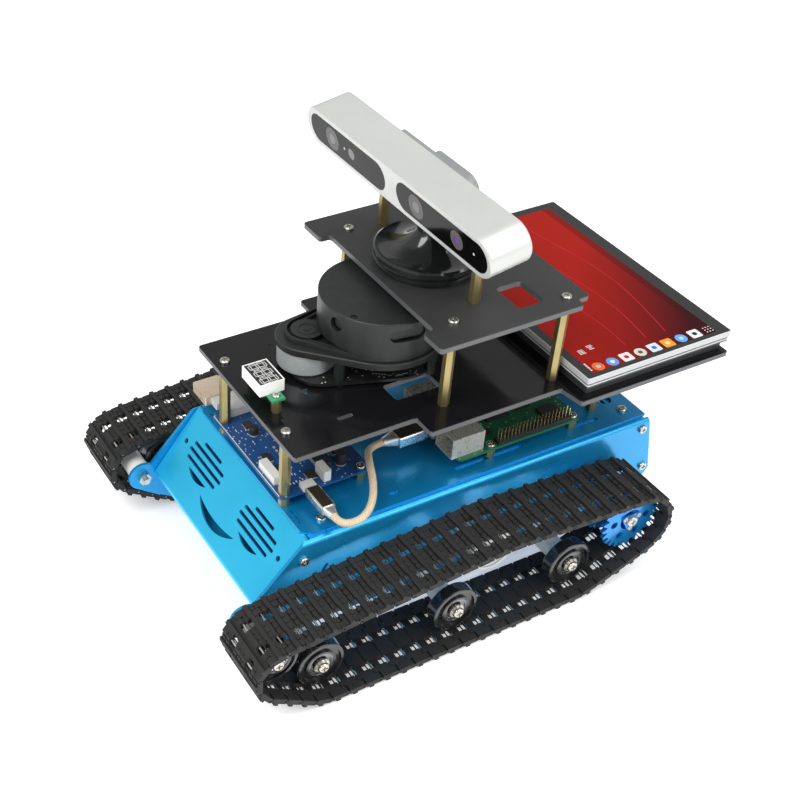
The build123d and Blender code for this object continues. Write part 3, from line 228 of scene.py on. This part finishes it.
plain_metal = Surface("motor_steel", (0.36, 0.36, 0.37), (0.5, 0.5, 0.5), 0.35, metal=1.0, patch=90)
for node in ("motor_left", "motor_right", "motor_brackets"):
    dress(node, plain_metal)
dress("battery_pack", Surface("battery_wrap", (0.01, 0.05, 0.2), (0.02, 0.08, 0.3), 0.3, patch=60, coat=0.3))

WHEELS = {"idler_wheel": (-36.8, -41.3), "road_wheel_1": (-9.0, -57.5),
          "road_wheel_2": (77.5, -57.5), "road_wheel_3": (157.0, -57.5)}
RACE_RADIUS = 7.75
for kind, (y, z) in WHEELS.items():
    wheel = Surface(kind, (0.012, 0.012, 0.013), (0.022, 0.022, 0.024), 0.16, spread=0.04, patch=90,
                    grain=1200, bump=0.05, coat=0.5)
    race = wheel.math("LESS_THAN", wheel.reach(place(0, y, z)), RACE_RADIUS * MM)
    wheel.paint(race, (0.25, 0.25, 0.26), 0.25, 1.0)
    for side in ("left", "right"):
        node = f"{kind}_{side}" if kind == "idler_wheel" else f"road_wheel_{side}_{kind[-1]}"
        dress(node, wheel)

roller = Surface("roller_nylon", (0.50, 0.52, 0.53), (0.62, 0.63, 0.63), 0.4, patch=70, bump=0.08)
spacer = Surface("spacer_nylon", (0.74, 0.74, 0.70), (0.84, 0.84, 0.80), 0.42, patch=80, bump=0.08)
SPROCKET_FACE = 103.55     # X past which only the sprocket's bolt heads lie
sprocket = anodised("sprocket_blue", (0.008, 0.24, 0.66), (0.02, 0.32, 0.78), 0.25)
outer = sprocket.math("GREATER_THAN", sprocket.math("ABSOLUTE", sprocket.axis("X")), SPROCKET_FACE * MM)
sprocket.paint(outer, (0.62, 0.6, 0.55), 0.25)
for side in ("left", "right"):
    dress(f"return_roller_{side}", roller)
    dress(f"drive_sprocket_{side}", sprocket)
dress("axle_spacers", spacer)

brass = Surface("brass_post", (0.36, 0.29, 0.12), (0.46, 0.38, 0.18), 0.34, metal=0.85, patch=110,
                grain=1800, bump=0.1, stretch=(1, 1, 0.25))
for node in ("deck_standoffs_lower", "deck_standoffs_upper", "board_standoffs", "camera_standoffs"):
    dress(node, brass)

acrylic = Surface("acrylic_gloss", (0.005, 0.005, 0.006), (0.009, 0.009, 0.010), 0.13, spread=0.05,
                  patch=22, grain=300, bump=0.02, specular=0.35)
satin = Surface("acrylic_satin", (0.026, 0.026, 0.027), (0.034, 0.034, 0.036), 0.5, spread=0.06,
                patch=26, grain=2400, bump=0.08)
for sheet in (acrylic, satin):
    flank = sheet.math("LESS_THAN", sheet.math("ABSOLUTE", sheet.facing("Z")), 0.5)
    sheet.paint(flank, (0.10, 0.105, 0.11), 0.35)
dress("lower_deck", acrylic)
dress("upper_deck", satin)
dress("camera_bridge", acrylic)


def circuit(name, colour, tint, pad):
    """Solder mask with fine tracks under it and small plated pads."""
    surface = Surface(name, colour, tint, 0.35, patch=60, grain=1500, bump=0.1, specular=0.4)
    cells = surface.tree.nodes.new("ShaderNodeTexVoronoi")
    cells.inputs["Scale"].default_value = 330
    surface.tree.links.new(surface.where, cells.inputs["Vector"])
    dots = surface.math("LESS_THAN", cells.outputs["Distance"], 0.16)
    traces = surface.tree.nodes.new("ShaderNodeTexBrick")
    traces.inputs["Scale"].default_value = 160
    traces.inputs["Mortar Size"].default_value = 0.035
    traces.inputs["Color1"].default_value = (0, 0, 0, 1)
    traces.inputs["Color2"].default_value = (0, 0, 0, 1)
    traces.inputs["Mortar"].default_value = (1, 1, 1, 1)
    surface.tree.links.new(surface.where, traces.inputs["Vector"])
    lines = surface.math("MULTIPLY", traces.outputs["Color"], 0.35)
    surface.paint(lines, pad)
    flat = surface.math("MULTIPLY", dots, surface.math("GREATER_THAN", surface.facing("Z"), 0.5))
    surface.paint(flat, (0.62, 0.6, 0.5), 0.3)
    return surface


BOARDS = {"expansion_board": ("mask_blue", (0.008, 0.05, 0.17), (0.012, 0.075, 0.24), (0.02, 0.12, 0.36)),
          "computer_board": ("mask_green", (0.01, 0.10, 0.045), (0.015, 0.15, 0.07), (0.03, 0.24, 0.1)),
          "lidar_board": ("mask_black", (0.008, 0.008, 0.009), (0.014, 0.014, 0.015), (0.03, 0.03, 0.03))}
for node, (name, colour, tint, pad) in BOARDS.items():
    dress(node, circuit(name, colour, tint, pad))

chip = Surface("moulded_chip", (0.014, 0.014, 0.015), (0.03, 0.03, 0.031), 0.45, patch=160, bump=0.2)
dress("computer_chips", chip)
header = Surface("pin_header", (0.012, 0.012, 0.012), (0.022, 0.022, 0.022), 0.4, patch=160)
tips = header.math("GREATER_THAN", header.axis("Z"), place(0, 0, 10.0).z)
header.paint(tips, (0.75, 0.62, 0.3), 0.25, 1.0)
dress("computer_header", header)
mixed = Surface("board_parts", (0.014, 0.014, 0.015), (0.03, 0.03, 0.031), 0.42, patch=160, bump=0.2)
pale = mixed.math("LESS_THAN", mixed.axis("Z"), place(0, 0, 8.2).z)
mixed.paint(pale, (0.5, 0.47, 0.4), 0.35)
dress("expansion_chips", mixed)
shells = Surface("connector_shell", (0.66, 0.66, 0.62), (0.8, 0.8, 0.76), 0.38, patch=120, bump=0.1)
dress("expansion_connectors", shells)
tin = Surface("tinned_shell", (0.60, 0.59, 0.52), (0.74, 0.73, 0.66), 0.3, metal=0.55, patch=90, bump=0.12)
dress("computer_ports", tin)

plug = Surface("plug_shell", (0.60, 0.60, 0.60), (0.76, 0.76, 0.75), 0.26, metal=0.9, patch=120, bump=0.08)
plug.paint(plug.math("GREATER_THAN", plug.facing("Z"), 0.9), (0.20, 0.155, 0.11), 0.3)
boot = plug.math("MULTIPLY", plug.math("GREATER_THAN", plug.axis("X"), place(58.5, 0, 0).x),
                 plug.math("LESS_THAN", plug.axis("Y"), place(0, 40, 0).y))
far_boot = plug.math("MULTIPLY", plug.math("LESS_THAN", plug.axis("Y"), place(0, 78, 0).y),
                     plug.math("GREATER_THAN", plug.axis("Y"), place(0, 40, 0).y))
plug.paint(plug.math("MAXIMUM", boot, far_boot), (0.80, 0.79, 0.76), 0.4)
dress("micro_plug", plug)
dress("usb_plug", plug)
gold_plug = Surface("gold_plug", (0.56, 0.45, 0.33), (0.68, 0.57, 0.44), 0.3, metal=0.3, patch=90, coat=0.3)
stub = gold_plug.math("GREATER_THAN", gold_plug.axis("X"), place(-53, 0, 0).x)
gold_plug.paint(stub, (0.7, 0.7, 0.68), 0.25)
dress("side_plug", gold_plug)

meter_shell = Surface("meter_shell", (0.80, 0.80, 0.77), (0.88, 0.88, 0.86), 0.38, patch=90, bump=0.1)
tabs = meter_shell.math("LESS_THAN", meter_shell.axis("Z"), place(0, 0, 58.95).z)
meter_shell.paint(tabs, (0.02, 0.28, 0.12), 0.35)
dress("meter_housing", meter_shell)

scanner = Surface("scanner_shell", (0.010, 0.012, 0.011), (0.017, 0.020, 0.018), 0.42, patch=60, grain=2600,
                  bump=0.22, depth=0.00006)
for node in ("lidar_base", "lidar_turret", "lidar_pulley"):
    dress(node, scanner)
dress("lidar_motor", Surface("motor_can", (0.50, 0.53, 0.53), (0.62, 0.65, 0.65), 0.35, metal=0.4, patch=50))
dress("lidar_belt", Surface("belt_rubber", (0.012, 0.012, 0.012), (0.02, 0.02, 0.02), 0.7, patch=200,
                            bump=0.3))
dress("camera_pedestal", Surface("pedestal_gloss", (0.008, 0.009, 0.009), (0.014, 0.015, 0.015), 0.14,
                                 spread=0.04, patch=40, grain=900, bump=0.03, coat=0.6))
dress("camera_bracket", Surface("bracket_grey", (0.20, 0.21, 0.21), (0.27, 0.28, 0.28), 0.4, patch=60))
dress("camera_body", Surface("camera_silver", (0.55, 0.56, 0.54), (0.62, 0.63, 0.61), 0.36, metal=0.35,
                             patch=30, grain=3500, bump=0.08, depth=0.00004))
dress("camera_windows", Surface("window_glass", (0.001, 0.001, 0.001), (0.002, 0.002, 0.002), 0.08,
                                spread=0.02, patch=40, grain=500, bump=0.01, specular=0.14))
bezel = Surface("display_bezel", (0.026, 0.026, 0.026), (0.034, 0.034, 0.034), 0.3, spread=0.04, patch=30,
                grain=500, bump=0.01, specular=0.2)
edge = bezel.math("LESS_THAN", bezel.facing("Z"), 0.9)
bezel.paint(edge, (0.55, 0.56, 0.57), 0.3)
dress("display_panel", bezel)
case = Surface("display_boards", (0.030, 0.031, 0.033), (0.055, 0.056, 0.06), 0.4, patch=70, bump=0.15)
CASE_LINE = 55.2           # height of the pale line round the display's boards
off_line = case.math("ABSOLUTE", case.math("SUBTRACT", case.axis("Z"), place(0, 0, CASE_LINE).z))
case.paint(case.math("LESS_THAN", off_line, 0.35 * MM), (0.72, 0.73, 0.74), 0.35)
dress("display_case", case)


# ---- mesh helpers -------------------------------------------------------------------------------
def piece(name, mesh_maker, surface, body="root"):
    """A new mesh piece made by a function that fills a bmesh."""
    work = bmesh.new()
    mesh_maker(work)
    bmesh.ops.recalc_face_normals(work, faces=work.faces)
    data = bpy.data.meshes.new(name)
    work.to_mesh(data)
    work.free()
    data.materials.append(surface.material)
    thing = bpy.data.objects.new(name, data)
    bpy.context.scene.collection.objects.link(thing)
    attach(thing, body)
    return thing


def slab(work, frame_matrix, width, height, thick, corner=0.0, steps=5):
    """A thin rounded plate in the local XY plane, standing on Z = 0."""
    points = []
    corner = max(corner, 1e-6)
    for quarter, (sx, sy) in enumerate(((1, 1), (-1, 1), (-1, -1), (1, -1))):
        for n in range(steps + 1):
            turn = quarter * pi / 2 + n * pi / 2 / steps
            points.append((sx * (width / 2 - corner) + corner * cos(turn),
                           sy * (height / 2 - corner) + corner * sin(turn)))
    low = [work.verts.new(frame_matrix @ Vector((x, y, 0))) for x, y in points]
    high = [work.verts.new(frame_matrix @ Vector((x, y, thick))) for x, y in points]
    work.faces.new(list(reversed(low)))
    work.faces.new(high)
    for n in range(len(points)):
        m = (n + 1) % len(points)
        work.faces.new((low[n], low[m], high[m], high[n]))


def ring(work, frame_matrix, inner, outer, thick, steps=40):
    """A flat washer, or a disc where inner is zero, with a softened rim."""
    soft = min(thick, (outer - inner) / 2) * 0.4
    profile = [(outer, 0), (outer, thick - soft), (outer - soft, thick)]
    profile += [(inner + soft, thick), (inner, thick - soft), (inner, 0)] if inner else []
    rows = []
    for n in range(steps):
        turn = 2 * pi * n / steps
        spots = [Vector((r * cos(turn), r * sin(turn), z)) for r, z in profile]
        rows.append([work.verts.new(frame_matrix @ spot) for spot in spots])
    count = len(profile)
    for n in range(steps):
        here, there = rows[n], rows[(n + 1) % steps]
        for k in range(count if inner else count - 1):
            m = (k + 1) % count
            work.faces.new((here[k], there[k], there[m], here[m]))
    if not inner:
        work.faces.new([row[-1] for row in rows])
        work.faces.new([row[0] for row in reversed(rows)])


def flat_at(x, y, z, turn=0.0):
    """A level frame at a place, turned about the vertical."""
    return Matrix.Translation(place(x, y, z)) @ Matrix.Rotation(turn, 4, "Z")


# ---- braided lead -------------------------------------------------------------------------------
CABLE_ROUTE = [(64.5, 16.7, 8.85), (70.3, 16.7, 8.85), (74.2, 22.0, 9.6), (73.5, 30.5, 10.5),
               (64.8, 40.6, 11.0), (52.0, 48.3, 12.2), (39.5, 53.0, 14.5), (26.5, 60.5, 11.4),
               (26.5, 70.0, 11.4)]
CABLE_ACROSS = 4.2 * MM
braid = Surface("braid", (0.62, 0.50, 0.34), (0.74, 0.62, 0.46), 0.7, patch=300, grain=2200, bump=0.4,
                depth=0.0003)
weave = braid.tree.nodes.new("ShaderNodeTexChecker")
weave.inputs["Scale"].default_value = 1100
braid.tree.links.new(braid.where, weave.inputs["Vector"])
braid.paint(braid.math("MULTIPLY", weave.outputs["Fac"], 0.45), (0.38, 0.29, 0.18))
line = bpy.data.curves.new("usb_lead", "CURVE")
line.dimensions = "3D"
line.bevel_depth = CABLE_ACROSS / 2
line.bevel_resolution = 6
line.resolution_u = 24
line.use_fill_caps = True
spline = line.splines.new("NURBS")
spline.points.add(len(CABLE_ROUTE) - 1)
for point, spot in zip(spline.points, CABLE_ROUTE):
    point.co = (*place(*spot), 1.0)
spline.order_u = 3
spline.use_endpoint_u = True
line.materials.append(braid.material)
lead = bpy.data.objects.new("usb_lead", line)
bpy.context.scene.collection.objects.link(lead)
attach(lead, "root")
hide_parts("usb_cable")

# ---- display picture ----------------------------------------------------------------------------
SCREEN_TOP = 60.6
SCREEN_X, SCREEN_Y = 1.3, 210.9          # middle of the lit area
SCREEN_WIDE, SCREEN_HIGH = 153.6, 87.1
SCREEN_INK = SCREEN_TOP + 0.05           # height of what is drawn on the picture
picture = Surface("wallpaper", (0.30, 0.008, 0.003), (0.36, 0.010, 0.005), 0.2, spread=0.02, patch=10,
                  grain=300, bump=0.005, specular=0.08)
along = picture.math("SUBTRACT", picture.axis("X"), place(SCREEN_X, 0, 0).x)
over = picture.math("SUBTRACT", picture.axis("Y"), place(0, SCREEN_Y, 0).y)
along = picture.math("DIVIDE", along, SCREEN_WIDE / 2 * MM)
over = picture.math("DIVIDE", over, 43.6 * MM)
shade = picture.remap(picture.math("ADD", along, picture.math("MULTIPLY", over, 0.75)), 0.02, 0.94, 0.1, 1.45)
picture.paint(shade, (0.016, 0.002, 0.005))
band = picture.math("GREATER_THAN", picture.axis("Y"), place(0, 249.4, 0).y)
picture.paint(picture.math("MULTIPLY", band, 0.45), (0.03, 0.002, 0.003))


def lit_area(work):
    slab(work, flat_at(SCREEN_X, SCREEN_Y, SCREEN_TOP - 0.02), SCREEN_WIDE * MM, SCREEN_HIGH * MM, 0.06 * MM,
         0.6 * MM)


piece("screen_picture", lit_area, picture)


def ribbon(work, points, wide):
    """A thin line drawn on the screen, smooth through its points."""
    fine = []
    for n in range(len(points) - 1):
        a, b = points[max(0, n - 1)], points[n]
        c, d = points[n + 1], points[min(len(points) - 1, n + 2)]
        for k in range(8):
            s = k / 8
            fine.append([0.5 * (2 * b[i] + (c[i] - a[i]) * s
                                + (2 * a[i] - 5 * b[i] + 4 * c[i] - d[i]) * s ** 2
                                + (3 * b[i] - a[i] - 3 * c[i] + d[i]) * s ** 3) for i in (0, 1)])
    fine.append(points[-1])
    last = None
    for n, (x, y) in enumerate(fine):
        x0, y0 = fine[max(0, n - 1)]
        x1, y1 = fine[min(len(fine) - 1, n + 1)]
        run = Vector((y0 - y1, x1 - x0)).normalized() * wide / 2
        pair = [work.verts.new(place(x + s * run.x, y + s * run.y, SCREEN_INK)) for s in (-1, 1)]
        if last:
            work.faces.new((last[0], pair[0], pair[1], last[1]))
        last = pair


WAVE_COUNT, WAVE_GAP, WAVE_RISE, WAVE_SPREAD = 3, 18.0, 6.0, 30.0
glow = Surface("wallpaper_line", (0.40, 0.012, 0.03), (0.5, 0.02, 0.05), 0.3, patch=60, bump=0.005,
               specular=0.08)


def wave(n):
    """Points along one wave of the wallpaper, each wave set a little further along than the last."""
    middle = 195.0 + WAVE_GAP * n
    return [(x, middle + WAVE_RISE * sin((x + 20.0 * n) / WAVE_SPREAD)) for x in range(-70, 66, 15)]


def curves(work):
    """Three plain waves across the wallpaper."""
    for n in range(WAVE_COUNT):
        ribbon(work, wave(n), 0.5)


piece("screen_lines", curves, glow)
ICONS = [("round", (0.75, 0.16, 0.03), (0.5, 0.5, 0.6)), ("round", (0.12, 0.35, 0.8), (0.8, 0.82, 0.85)),
         ("square", (0.75, 0.75, 0.75), (0.5, 0.02, 0.02)), ("round", (0.62, 0.62, 0.56), (0.1, 0.12, 0.05)),
         ("square", (0.62, 0.72, 0.9), (0.06, 0.15, 0.5)), ("square", (0.85, 0.32, 0.03), (0.8, 0.7, 0.4)),
         ("round", (0.12, 0.38, 0.85), (0.5, 0.7, 0.9)), ("square", (0.78, 0.78, 0.78), (0.02, 0.02, 0.02)),
         ("grid", (0.8, 0.8, 0.8), (0.8, 0.8, 0.8))]
ICON_X, FIRST_ICON_Y, ICON_STEP = 74.4, 173.6, 9.75
ICON_SIZE, MARK_SIZE, MARK_LIFT = 7.2, 2.8, 0.04
for n, (shape, colour, mark) in enumerate(ICONS):
    looks = [Surface(f"icon_{n}_{k}", c, tuple(v * 0.8 for v in c), 0.3, patch=200, bump=0.01, specular=0.1)
             for k, c in enumerate((colour, mark))]

    def tile(work, n=n, shape=shape, inner=False):
        """A generic round, square or dotted tile, or the mark in its middle."""
        x, y = ICON_X, FIRST_ICON_Y + ICON_STEP * n
        size = MARK_SIZE if inner else ICON_SIZE
        rise = SCREEN_INK + (MARK_LIFT if inner else 0)
        if shape == "grid":
            for dx in (-2, 0, 2):
                for dy in (-2, 0, 2):
                    slab(work, flat_at(x + dx, y + dy, rise), 0.8 * MM, 0.8 * MM, 0.03 * MM, 0.3 * MM)
        else:
            slab(work, flat_at(x, y, rise), size * MM, size * MM, 0.03 * MM,
                 (size / 2 - 0.01 if shape == "round" else 1.0) * MM)
    piece(f"screen_icon_{n}", tile, looks[0])
    if shape != "grid":
        piece(f"screen_mark_{n}", lambda work, n=n, shape=shape: tile(work, n, shape, True), looks[1])
letter = Surface("screen_text", (0.72, 0.72, 0.72), (0.82, 0.82, 0.82), 0.3, patch=200, bump=0.01,
                 specular=0.1)


def screen_text(work):
    """Short ticks where the desktop shows lines of small writing."""
    draw = random.Random(5)
    for x, y0, y1 in ((59.5, 171.4, 176.0), (58.0, 178.5, 183.1)):
        for n in range(4):
            slab(work, flat_at(x - 1.5 + 1.1 * n, (y0 + y1) / 2, SCREEN_INK), 0.5 * MM,
                 (y1 - y0) * draw.uniform(0.5, 0.9) * MM, 0.03 * MM)
    for x0, x1 in ((69.0, 75.5), (-9.9, 3.5)):
        x = x0
        while x < x1:
            wide = draw.uniform(0.5, 1.3)
            slab(work, flat_at(x + wide / 2, 168.0, SCREEN_INK), wide * MM, 1.0 * MM, 0.03 * MM)
            x += wide + 0.5


piece("screen_text", screen_text, letter)

# ---- meter face ---------------------------------------------------------------------------------
face_black = Surface("meter_face", (0.012, 0.012, 0.013), (0.02, 0.02, 0.021), 0.2, patch=120, bump=0.02)
segment_white = Surface("segment_line", (0.78, 0.78, 0.76), (0.88, 0.88, 0.86), 0.4, patch=200, bump=0.05)
METER_TOP = 66.0
METER_X, METER_Y = 3.45, 6.2             # middle of the meter's face


def meter_face(work):
    slab(work, flat_at(METER_X, METER_Y, METER_TOP - 0.25), 19.2 * MM, 13.5 * MM, 0.15 * MM)


piece("meter_face", meter_face, face_black)


def digits(work):
    """Three outlined figures made of seven narrow frames each."""
    long, wide, line_wide, thick = 3.3, 1.25, 0.28, 0.08
    for x in (METER_X - 6.45, METER_X, METER_X + 6.45):
        spots = [(x, METER_Y + 4.4, 0), (x, METER_Y, 0), (x, METER_Y - 4.4, 0)]
        spots += [(x + sx * 2.15, METER_Y + sy * 2.2, pi / 2) for sx in (-1, 1) for sy in (-1, 1)]
        for sx, sy, turn in spots:
            seat = flat_at(sx, sy, METER_TOP - 0.1, turn)
            for end in (-1, 1):
                slab(work, seat @ Matrix.Translation((0, end * wide / 2 * MM, 0)), long * MM,
                     line_wide * MM, thick * MM)
                slab(work, seat @ Matrix.Translation((end * long / 2 * MM, 0, 0)), line_wide * MM,
                     (wide + line_wide) * MM, thick * MM)


piece("meter_digits", digits, segment_white)

# ---- camera lenses ------------------------------------------------------------------------------
CAMERA_PITCH = 10.0
BAR_X = -2.1               # middle of the camera bar
BAR_DEEP = 24.3
PANE_RECESS = 0.1
pitch = radians(CAMERA_PITCH)
bar_matrix = Matrix.Translation(place(BAR_X, 93.7, 155.7)) @ Matrix((
    (1, 0, 0), (0, -sin(pitch), -cos(pitch)), (0, cos(pitch), -sin(pitch)))).to_4x4()
PANE_FACE = BAR_DEEP / 2 - PANE_RECESS


def on_bar(x):
    """A frame on the front glass of the camera bar, X across and Z outward."""
    return bar_matrix @ Matrix.Translation(((x - BAR_X) * MM, 0, PANE_FACE * MM))


lens_ring = Surface("lens_ring", (0.055, 0.05, 0.05), (0.09, 0.08, 0.08), 0.35, patch=300, bump=0.15)
lens_dark = Surface("lens_dark", (0.006, 0.006, 0.009), (0.012, 0.011, 0.016), 0.06, spread=0.02, patch=200,
                    bump=0.01, coat=0.8)
lens_violet = Surface("lens_violet", (0.10, 0.04, 0.28), (0.22, 0.09, 0.5), 0.08, spread=0.02, patch=500,
                      bump=0.01, coat=0.8)
lens_glint = Surface("lens_glint", (0.5, 0.5, 0.52), (0.7, 0.7, 0.72), 0.2, patch=300, bump=0.02)


def rings(spots, inner, outer, thick=0.08):
    """Washers or discs at places along the camera bar."""
    def make(work):
        for x in spots:
            ring(work, on_bar(x), inner * MM, outer * MM, thick * MM)
    return make


piece("lens_rings", rings((-61.5, 20.3), 3.3, 6.6), lens_ring, "camera")
piece("lens_rings_small", rings((55.9,), 1.9, 5.2), lens_ring, "camera")
piece("lens_glass", rings((-61.5, 20.3, -41.8), 0, 3.2), lens_dark, "camera")
piece("lens_violet", rings((55.9,), 0, 1.8), lens_violet, "camera")
piece("lens_specks", rings((-49.0, 70.2), 0, 0.75), lens_glint, "camera")

# ---- board printing -----------------------------------------------------------------------------
silk = Surface("board_print", (0.72, 0.73, 0.74), (0.84, 0.85, 0.85), 0.5, patch=300, bump=0.05)
BOARD_FACE = 7.4
INK = 0.04                 # thickness of printing
CHIP_SITES = ((-9, 5, 22, 36, 12), (14, 24, 30, 37, 6), (-30, -20, 26, 33, 6), (14, 22, 8, 14, 5))
OUTLINES = ((-2, 29, 15.4, 15.4), (19, 33.5, 11.4, 8.4), (-25, 29.5, 11.4, 8.4), (18, 11, 9.2, 7.2))


def board_print(work):
    """Plain outlines and ticks printed round the parts of the front board."""
    slab(work, flat_at(-3, -0.55, BOARD_FACE), 78 * MM, 0.5 * MM, INK * MM)
    for x, y, wide, high in OUTLINES:
        for end in (-1, 1):
            slab(work, flat_at(x, y + end * high / 2, BOARD_FACE), wide * MM, 0.3 * MM, INK * MM)
            slab(work, flat_at(x + end * wide / 2, y, BOARD_FACE), 0.3 * MM, high * MM, INK * MM)
    draw = random.Random(7)
    for n in range(46):
        x, y = draw.uniform(-32, 32), draw.uniform(2, 46)
        slab(work, flat_at(x, y, BOARD_FACE), draw.uniform(0.6, 2.4) * MM, 0.45 * MM, INK * MM)
    for n in range(9):
        slab(work, flat_at(29.5 + 0.8 * (n % 2), 6 + 1.9 * n, BOARD_FACE), 1.6 * MM, 0.7 * MM, 0.05 * MM)


piece("board_print", board_print, silk)


def chip_legs(work):
    """Tinned legs along the sides of the larger chips."""
    for x0, x1, y0, y1, count in CHIP_SITES:
        for n in range(count):
            x = x0 + (n + 0.5) * (x1 - x0) / count
            for y, way in ((y0, -1), (y1, 1)):
                slab(work, flat_at(x, y + way * 0.55, BOARD_FACE), 0.45 * MM, 1.1 * MM, 0.25 * MM)


piece("chip_legs", chip_legs, tin)


def scanner_print(work):
    """Printed ticks along the front edge of the range finder's board."""
    draw = random.Random(3)
    for n in range(22):
        turn = radians(20 + 3.6 * n)
        r = draw.uniform(22.5, 25.5)
        seat = flat_at(-0.5 + r * sin(turn), 88 - r * cos(turn), 52.3, turn)
        slab(work, seat, draw.uniform(0.5, 1.4) * MM, 0.4 * MM, INK * MM)


piece("scanner_print", scanner_print, silk)

# ---- tread detail -------------------------------------------------------------------------------
PAD_COLUMNS = (-17.2, -12.9, -4.4, 0.0, 4.4, 12.9, 17.2)
PAD_ROW = 3.05             # rows of pads each side of a link's rib
PAD_WIDE, PAD_LONG, PAD_HIGH = 3.6, 2.2, 1.15


def islands(mesh):
    """The middles of a mesh's separate pieces."""
    parent = list(range(len(mesh.vertices)))

    def root_of(n):
        while parent[n] != n:
            parent[n] = parent[parent[n]]
            n = parent[n]
        return n

    pairs = [tuple(edge.vertices) for edge in mesh.edges]
    first = {}
    for n, vertex in enumerate(mesh.vertices):
        pairs.append((n, first.setdefault(tuple(round(c, 5) for c in vertex.co), n)))
    for a, b in pairs:
        a, b = root_of(a), root_of(b)
        if a != b:
            parent[a] = b
    groups = {}
    for n, vertex in enumerate(mesh.vertices):
        low, high = groups.setdefault(root_of(n), [vertex.co.copy(), vertex.co.copy()])
        for axis in range(3):
            low[axis] = min(low[axis], vertex.co[axis])
            high[axis] = max(high[axis], vertex.co[axis])
    return [(low + high) / 2 for low, high in groups.values()]


def tread_of(node):
    """A maker of the small pads that stand on the outside of each link of a track."""
    spots = islands(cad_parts[node].data)
    middle = sum(spots, Vector()) / len(spots)
    ordered, left = [spots[0]], spots[1:]
    while left:
        nearest = min(left, key=lambda spot: (spot - ordered[-1]).length)
        ordered.append(nearest)
        left.remove(nearest)

    def make(work):
        for n, spot in enumerate(ordered):
            run = (ordered[(n + 1) % len(ordered)] - ordered[n - 1]).normalized()
            across = Vector((1, 0, 0))
            out = across.cross(run).normalized()
            if out.dot(spot - middle) < 0:
                out = -out
            turn = Matrix((across, out.cross(across), out)).transposed().to_4x4()
            seat = Matrix.Translation(spot) @ turn
            for x in PAD_COLUMNS:
                for along in (-PAD_ROW, PAD_ROW):
                    slab(work, seat @ Matrix.Translation((x * MM, along * MM, 0.2 * MM)), PAD_WIDE * MM,
                         PAD_LONG * MM, PAD_HIGH * MM, 0.5 * MM, 2)
    return make


for side in ("left", "right"):
    piece(f"tread_{side}", tread_of(f"track_{side}"), track_surface)

# ---- studio -------------------------------------------------------------------------------------
floor_data = bpy.data.meshes.new("floor")
corners = [(x * 4, y * 4, -0.0002) for x, y in ((-1, -1), (1, -1), (1, 1), (-1, 1))]
floor_data.from_pydata(corners, [], [(0, 1, 2, 3)])
floor = bpy.data.objects.new("floor", floor_data)
bpy.context.scene.collection.objects.link(floor)
floor_look = Surface("floor", (0.90, 0.90, 0.90), (0.93, 0.93, 0.93), 0.7, patch=2, grain=100, bump=0.01)
floor_look.shader.inputs["Emission Color"].default_value = (1.0, 1.0, 1.0, 1.0)
floor_look.shader.inputs["Emission Strength"].default_value = 0.35
floor_data.materials.append(floor_look.material)


def softbox(name, at, size, watts, aim=(0, 0, 0.08)):
    """A soft rectangular light that faces the robot."""
    lamp = bpy.data.lights.new(name, "AREA")
    lamp.shape = "RECTANGLE"
    lamp.size, lamp.size_y = size
    lamp.energy = watts
    holder = bpy.data.objects.new(name, lamp)
    bpy.context.scene.collection.objects.link(holder)
    holder.location = at
    holder.rotation_euler = (Vector(aim) - Vector(at)).to_track_quat("-Z", "Y").to_euler()


softbox("key", (0.3, -1.1, 1.5), (1.2, 0.9), 22)
softbox("fill", (1.5, 0.7, 1.0), (1.2, 1.0), 12)
softbox("top", (0.35, 0.5, 1.8), (1.2, 1.2), 12)
world = bpy.data.worlds.new("studio")
world.use_nodes = True
sky = world.node_tree.nodes["Background"]
sky.inputs["Color"].default_value = (1.0, 1.0, 1.0, 1.0)
sky.inputs["Strength"].default_value = 0.5
bpy.context.scene.world = world
bpy.context.scene.view_settings.view_transform = "Standard"
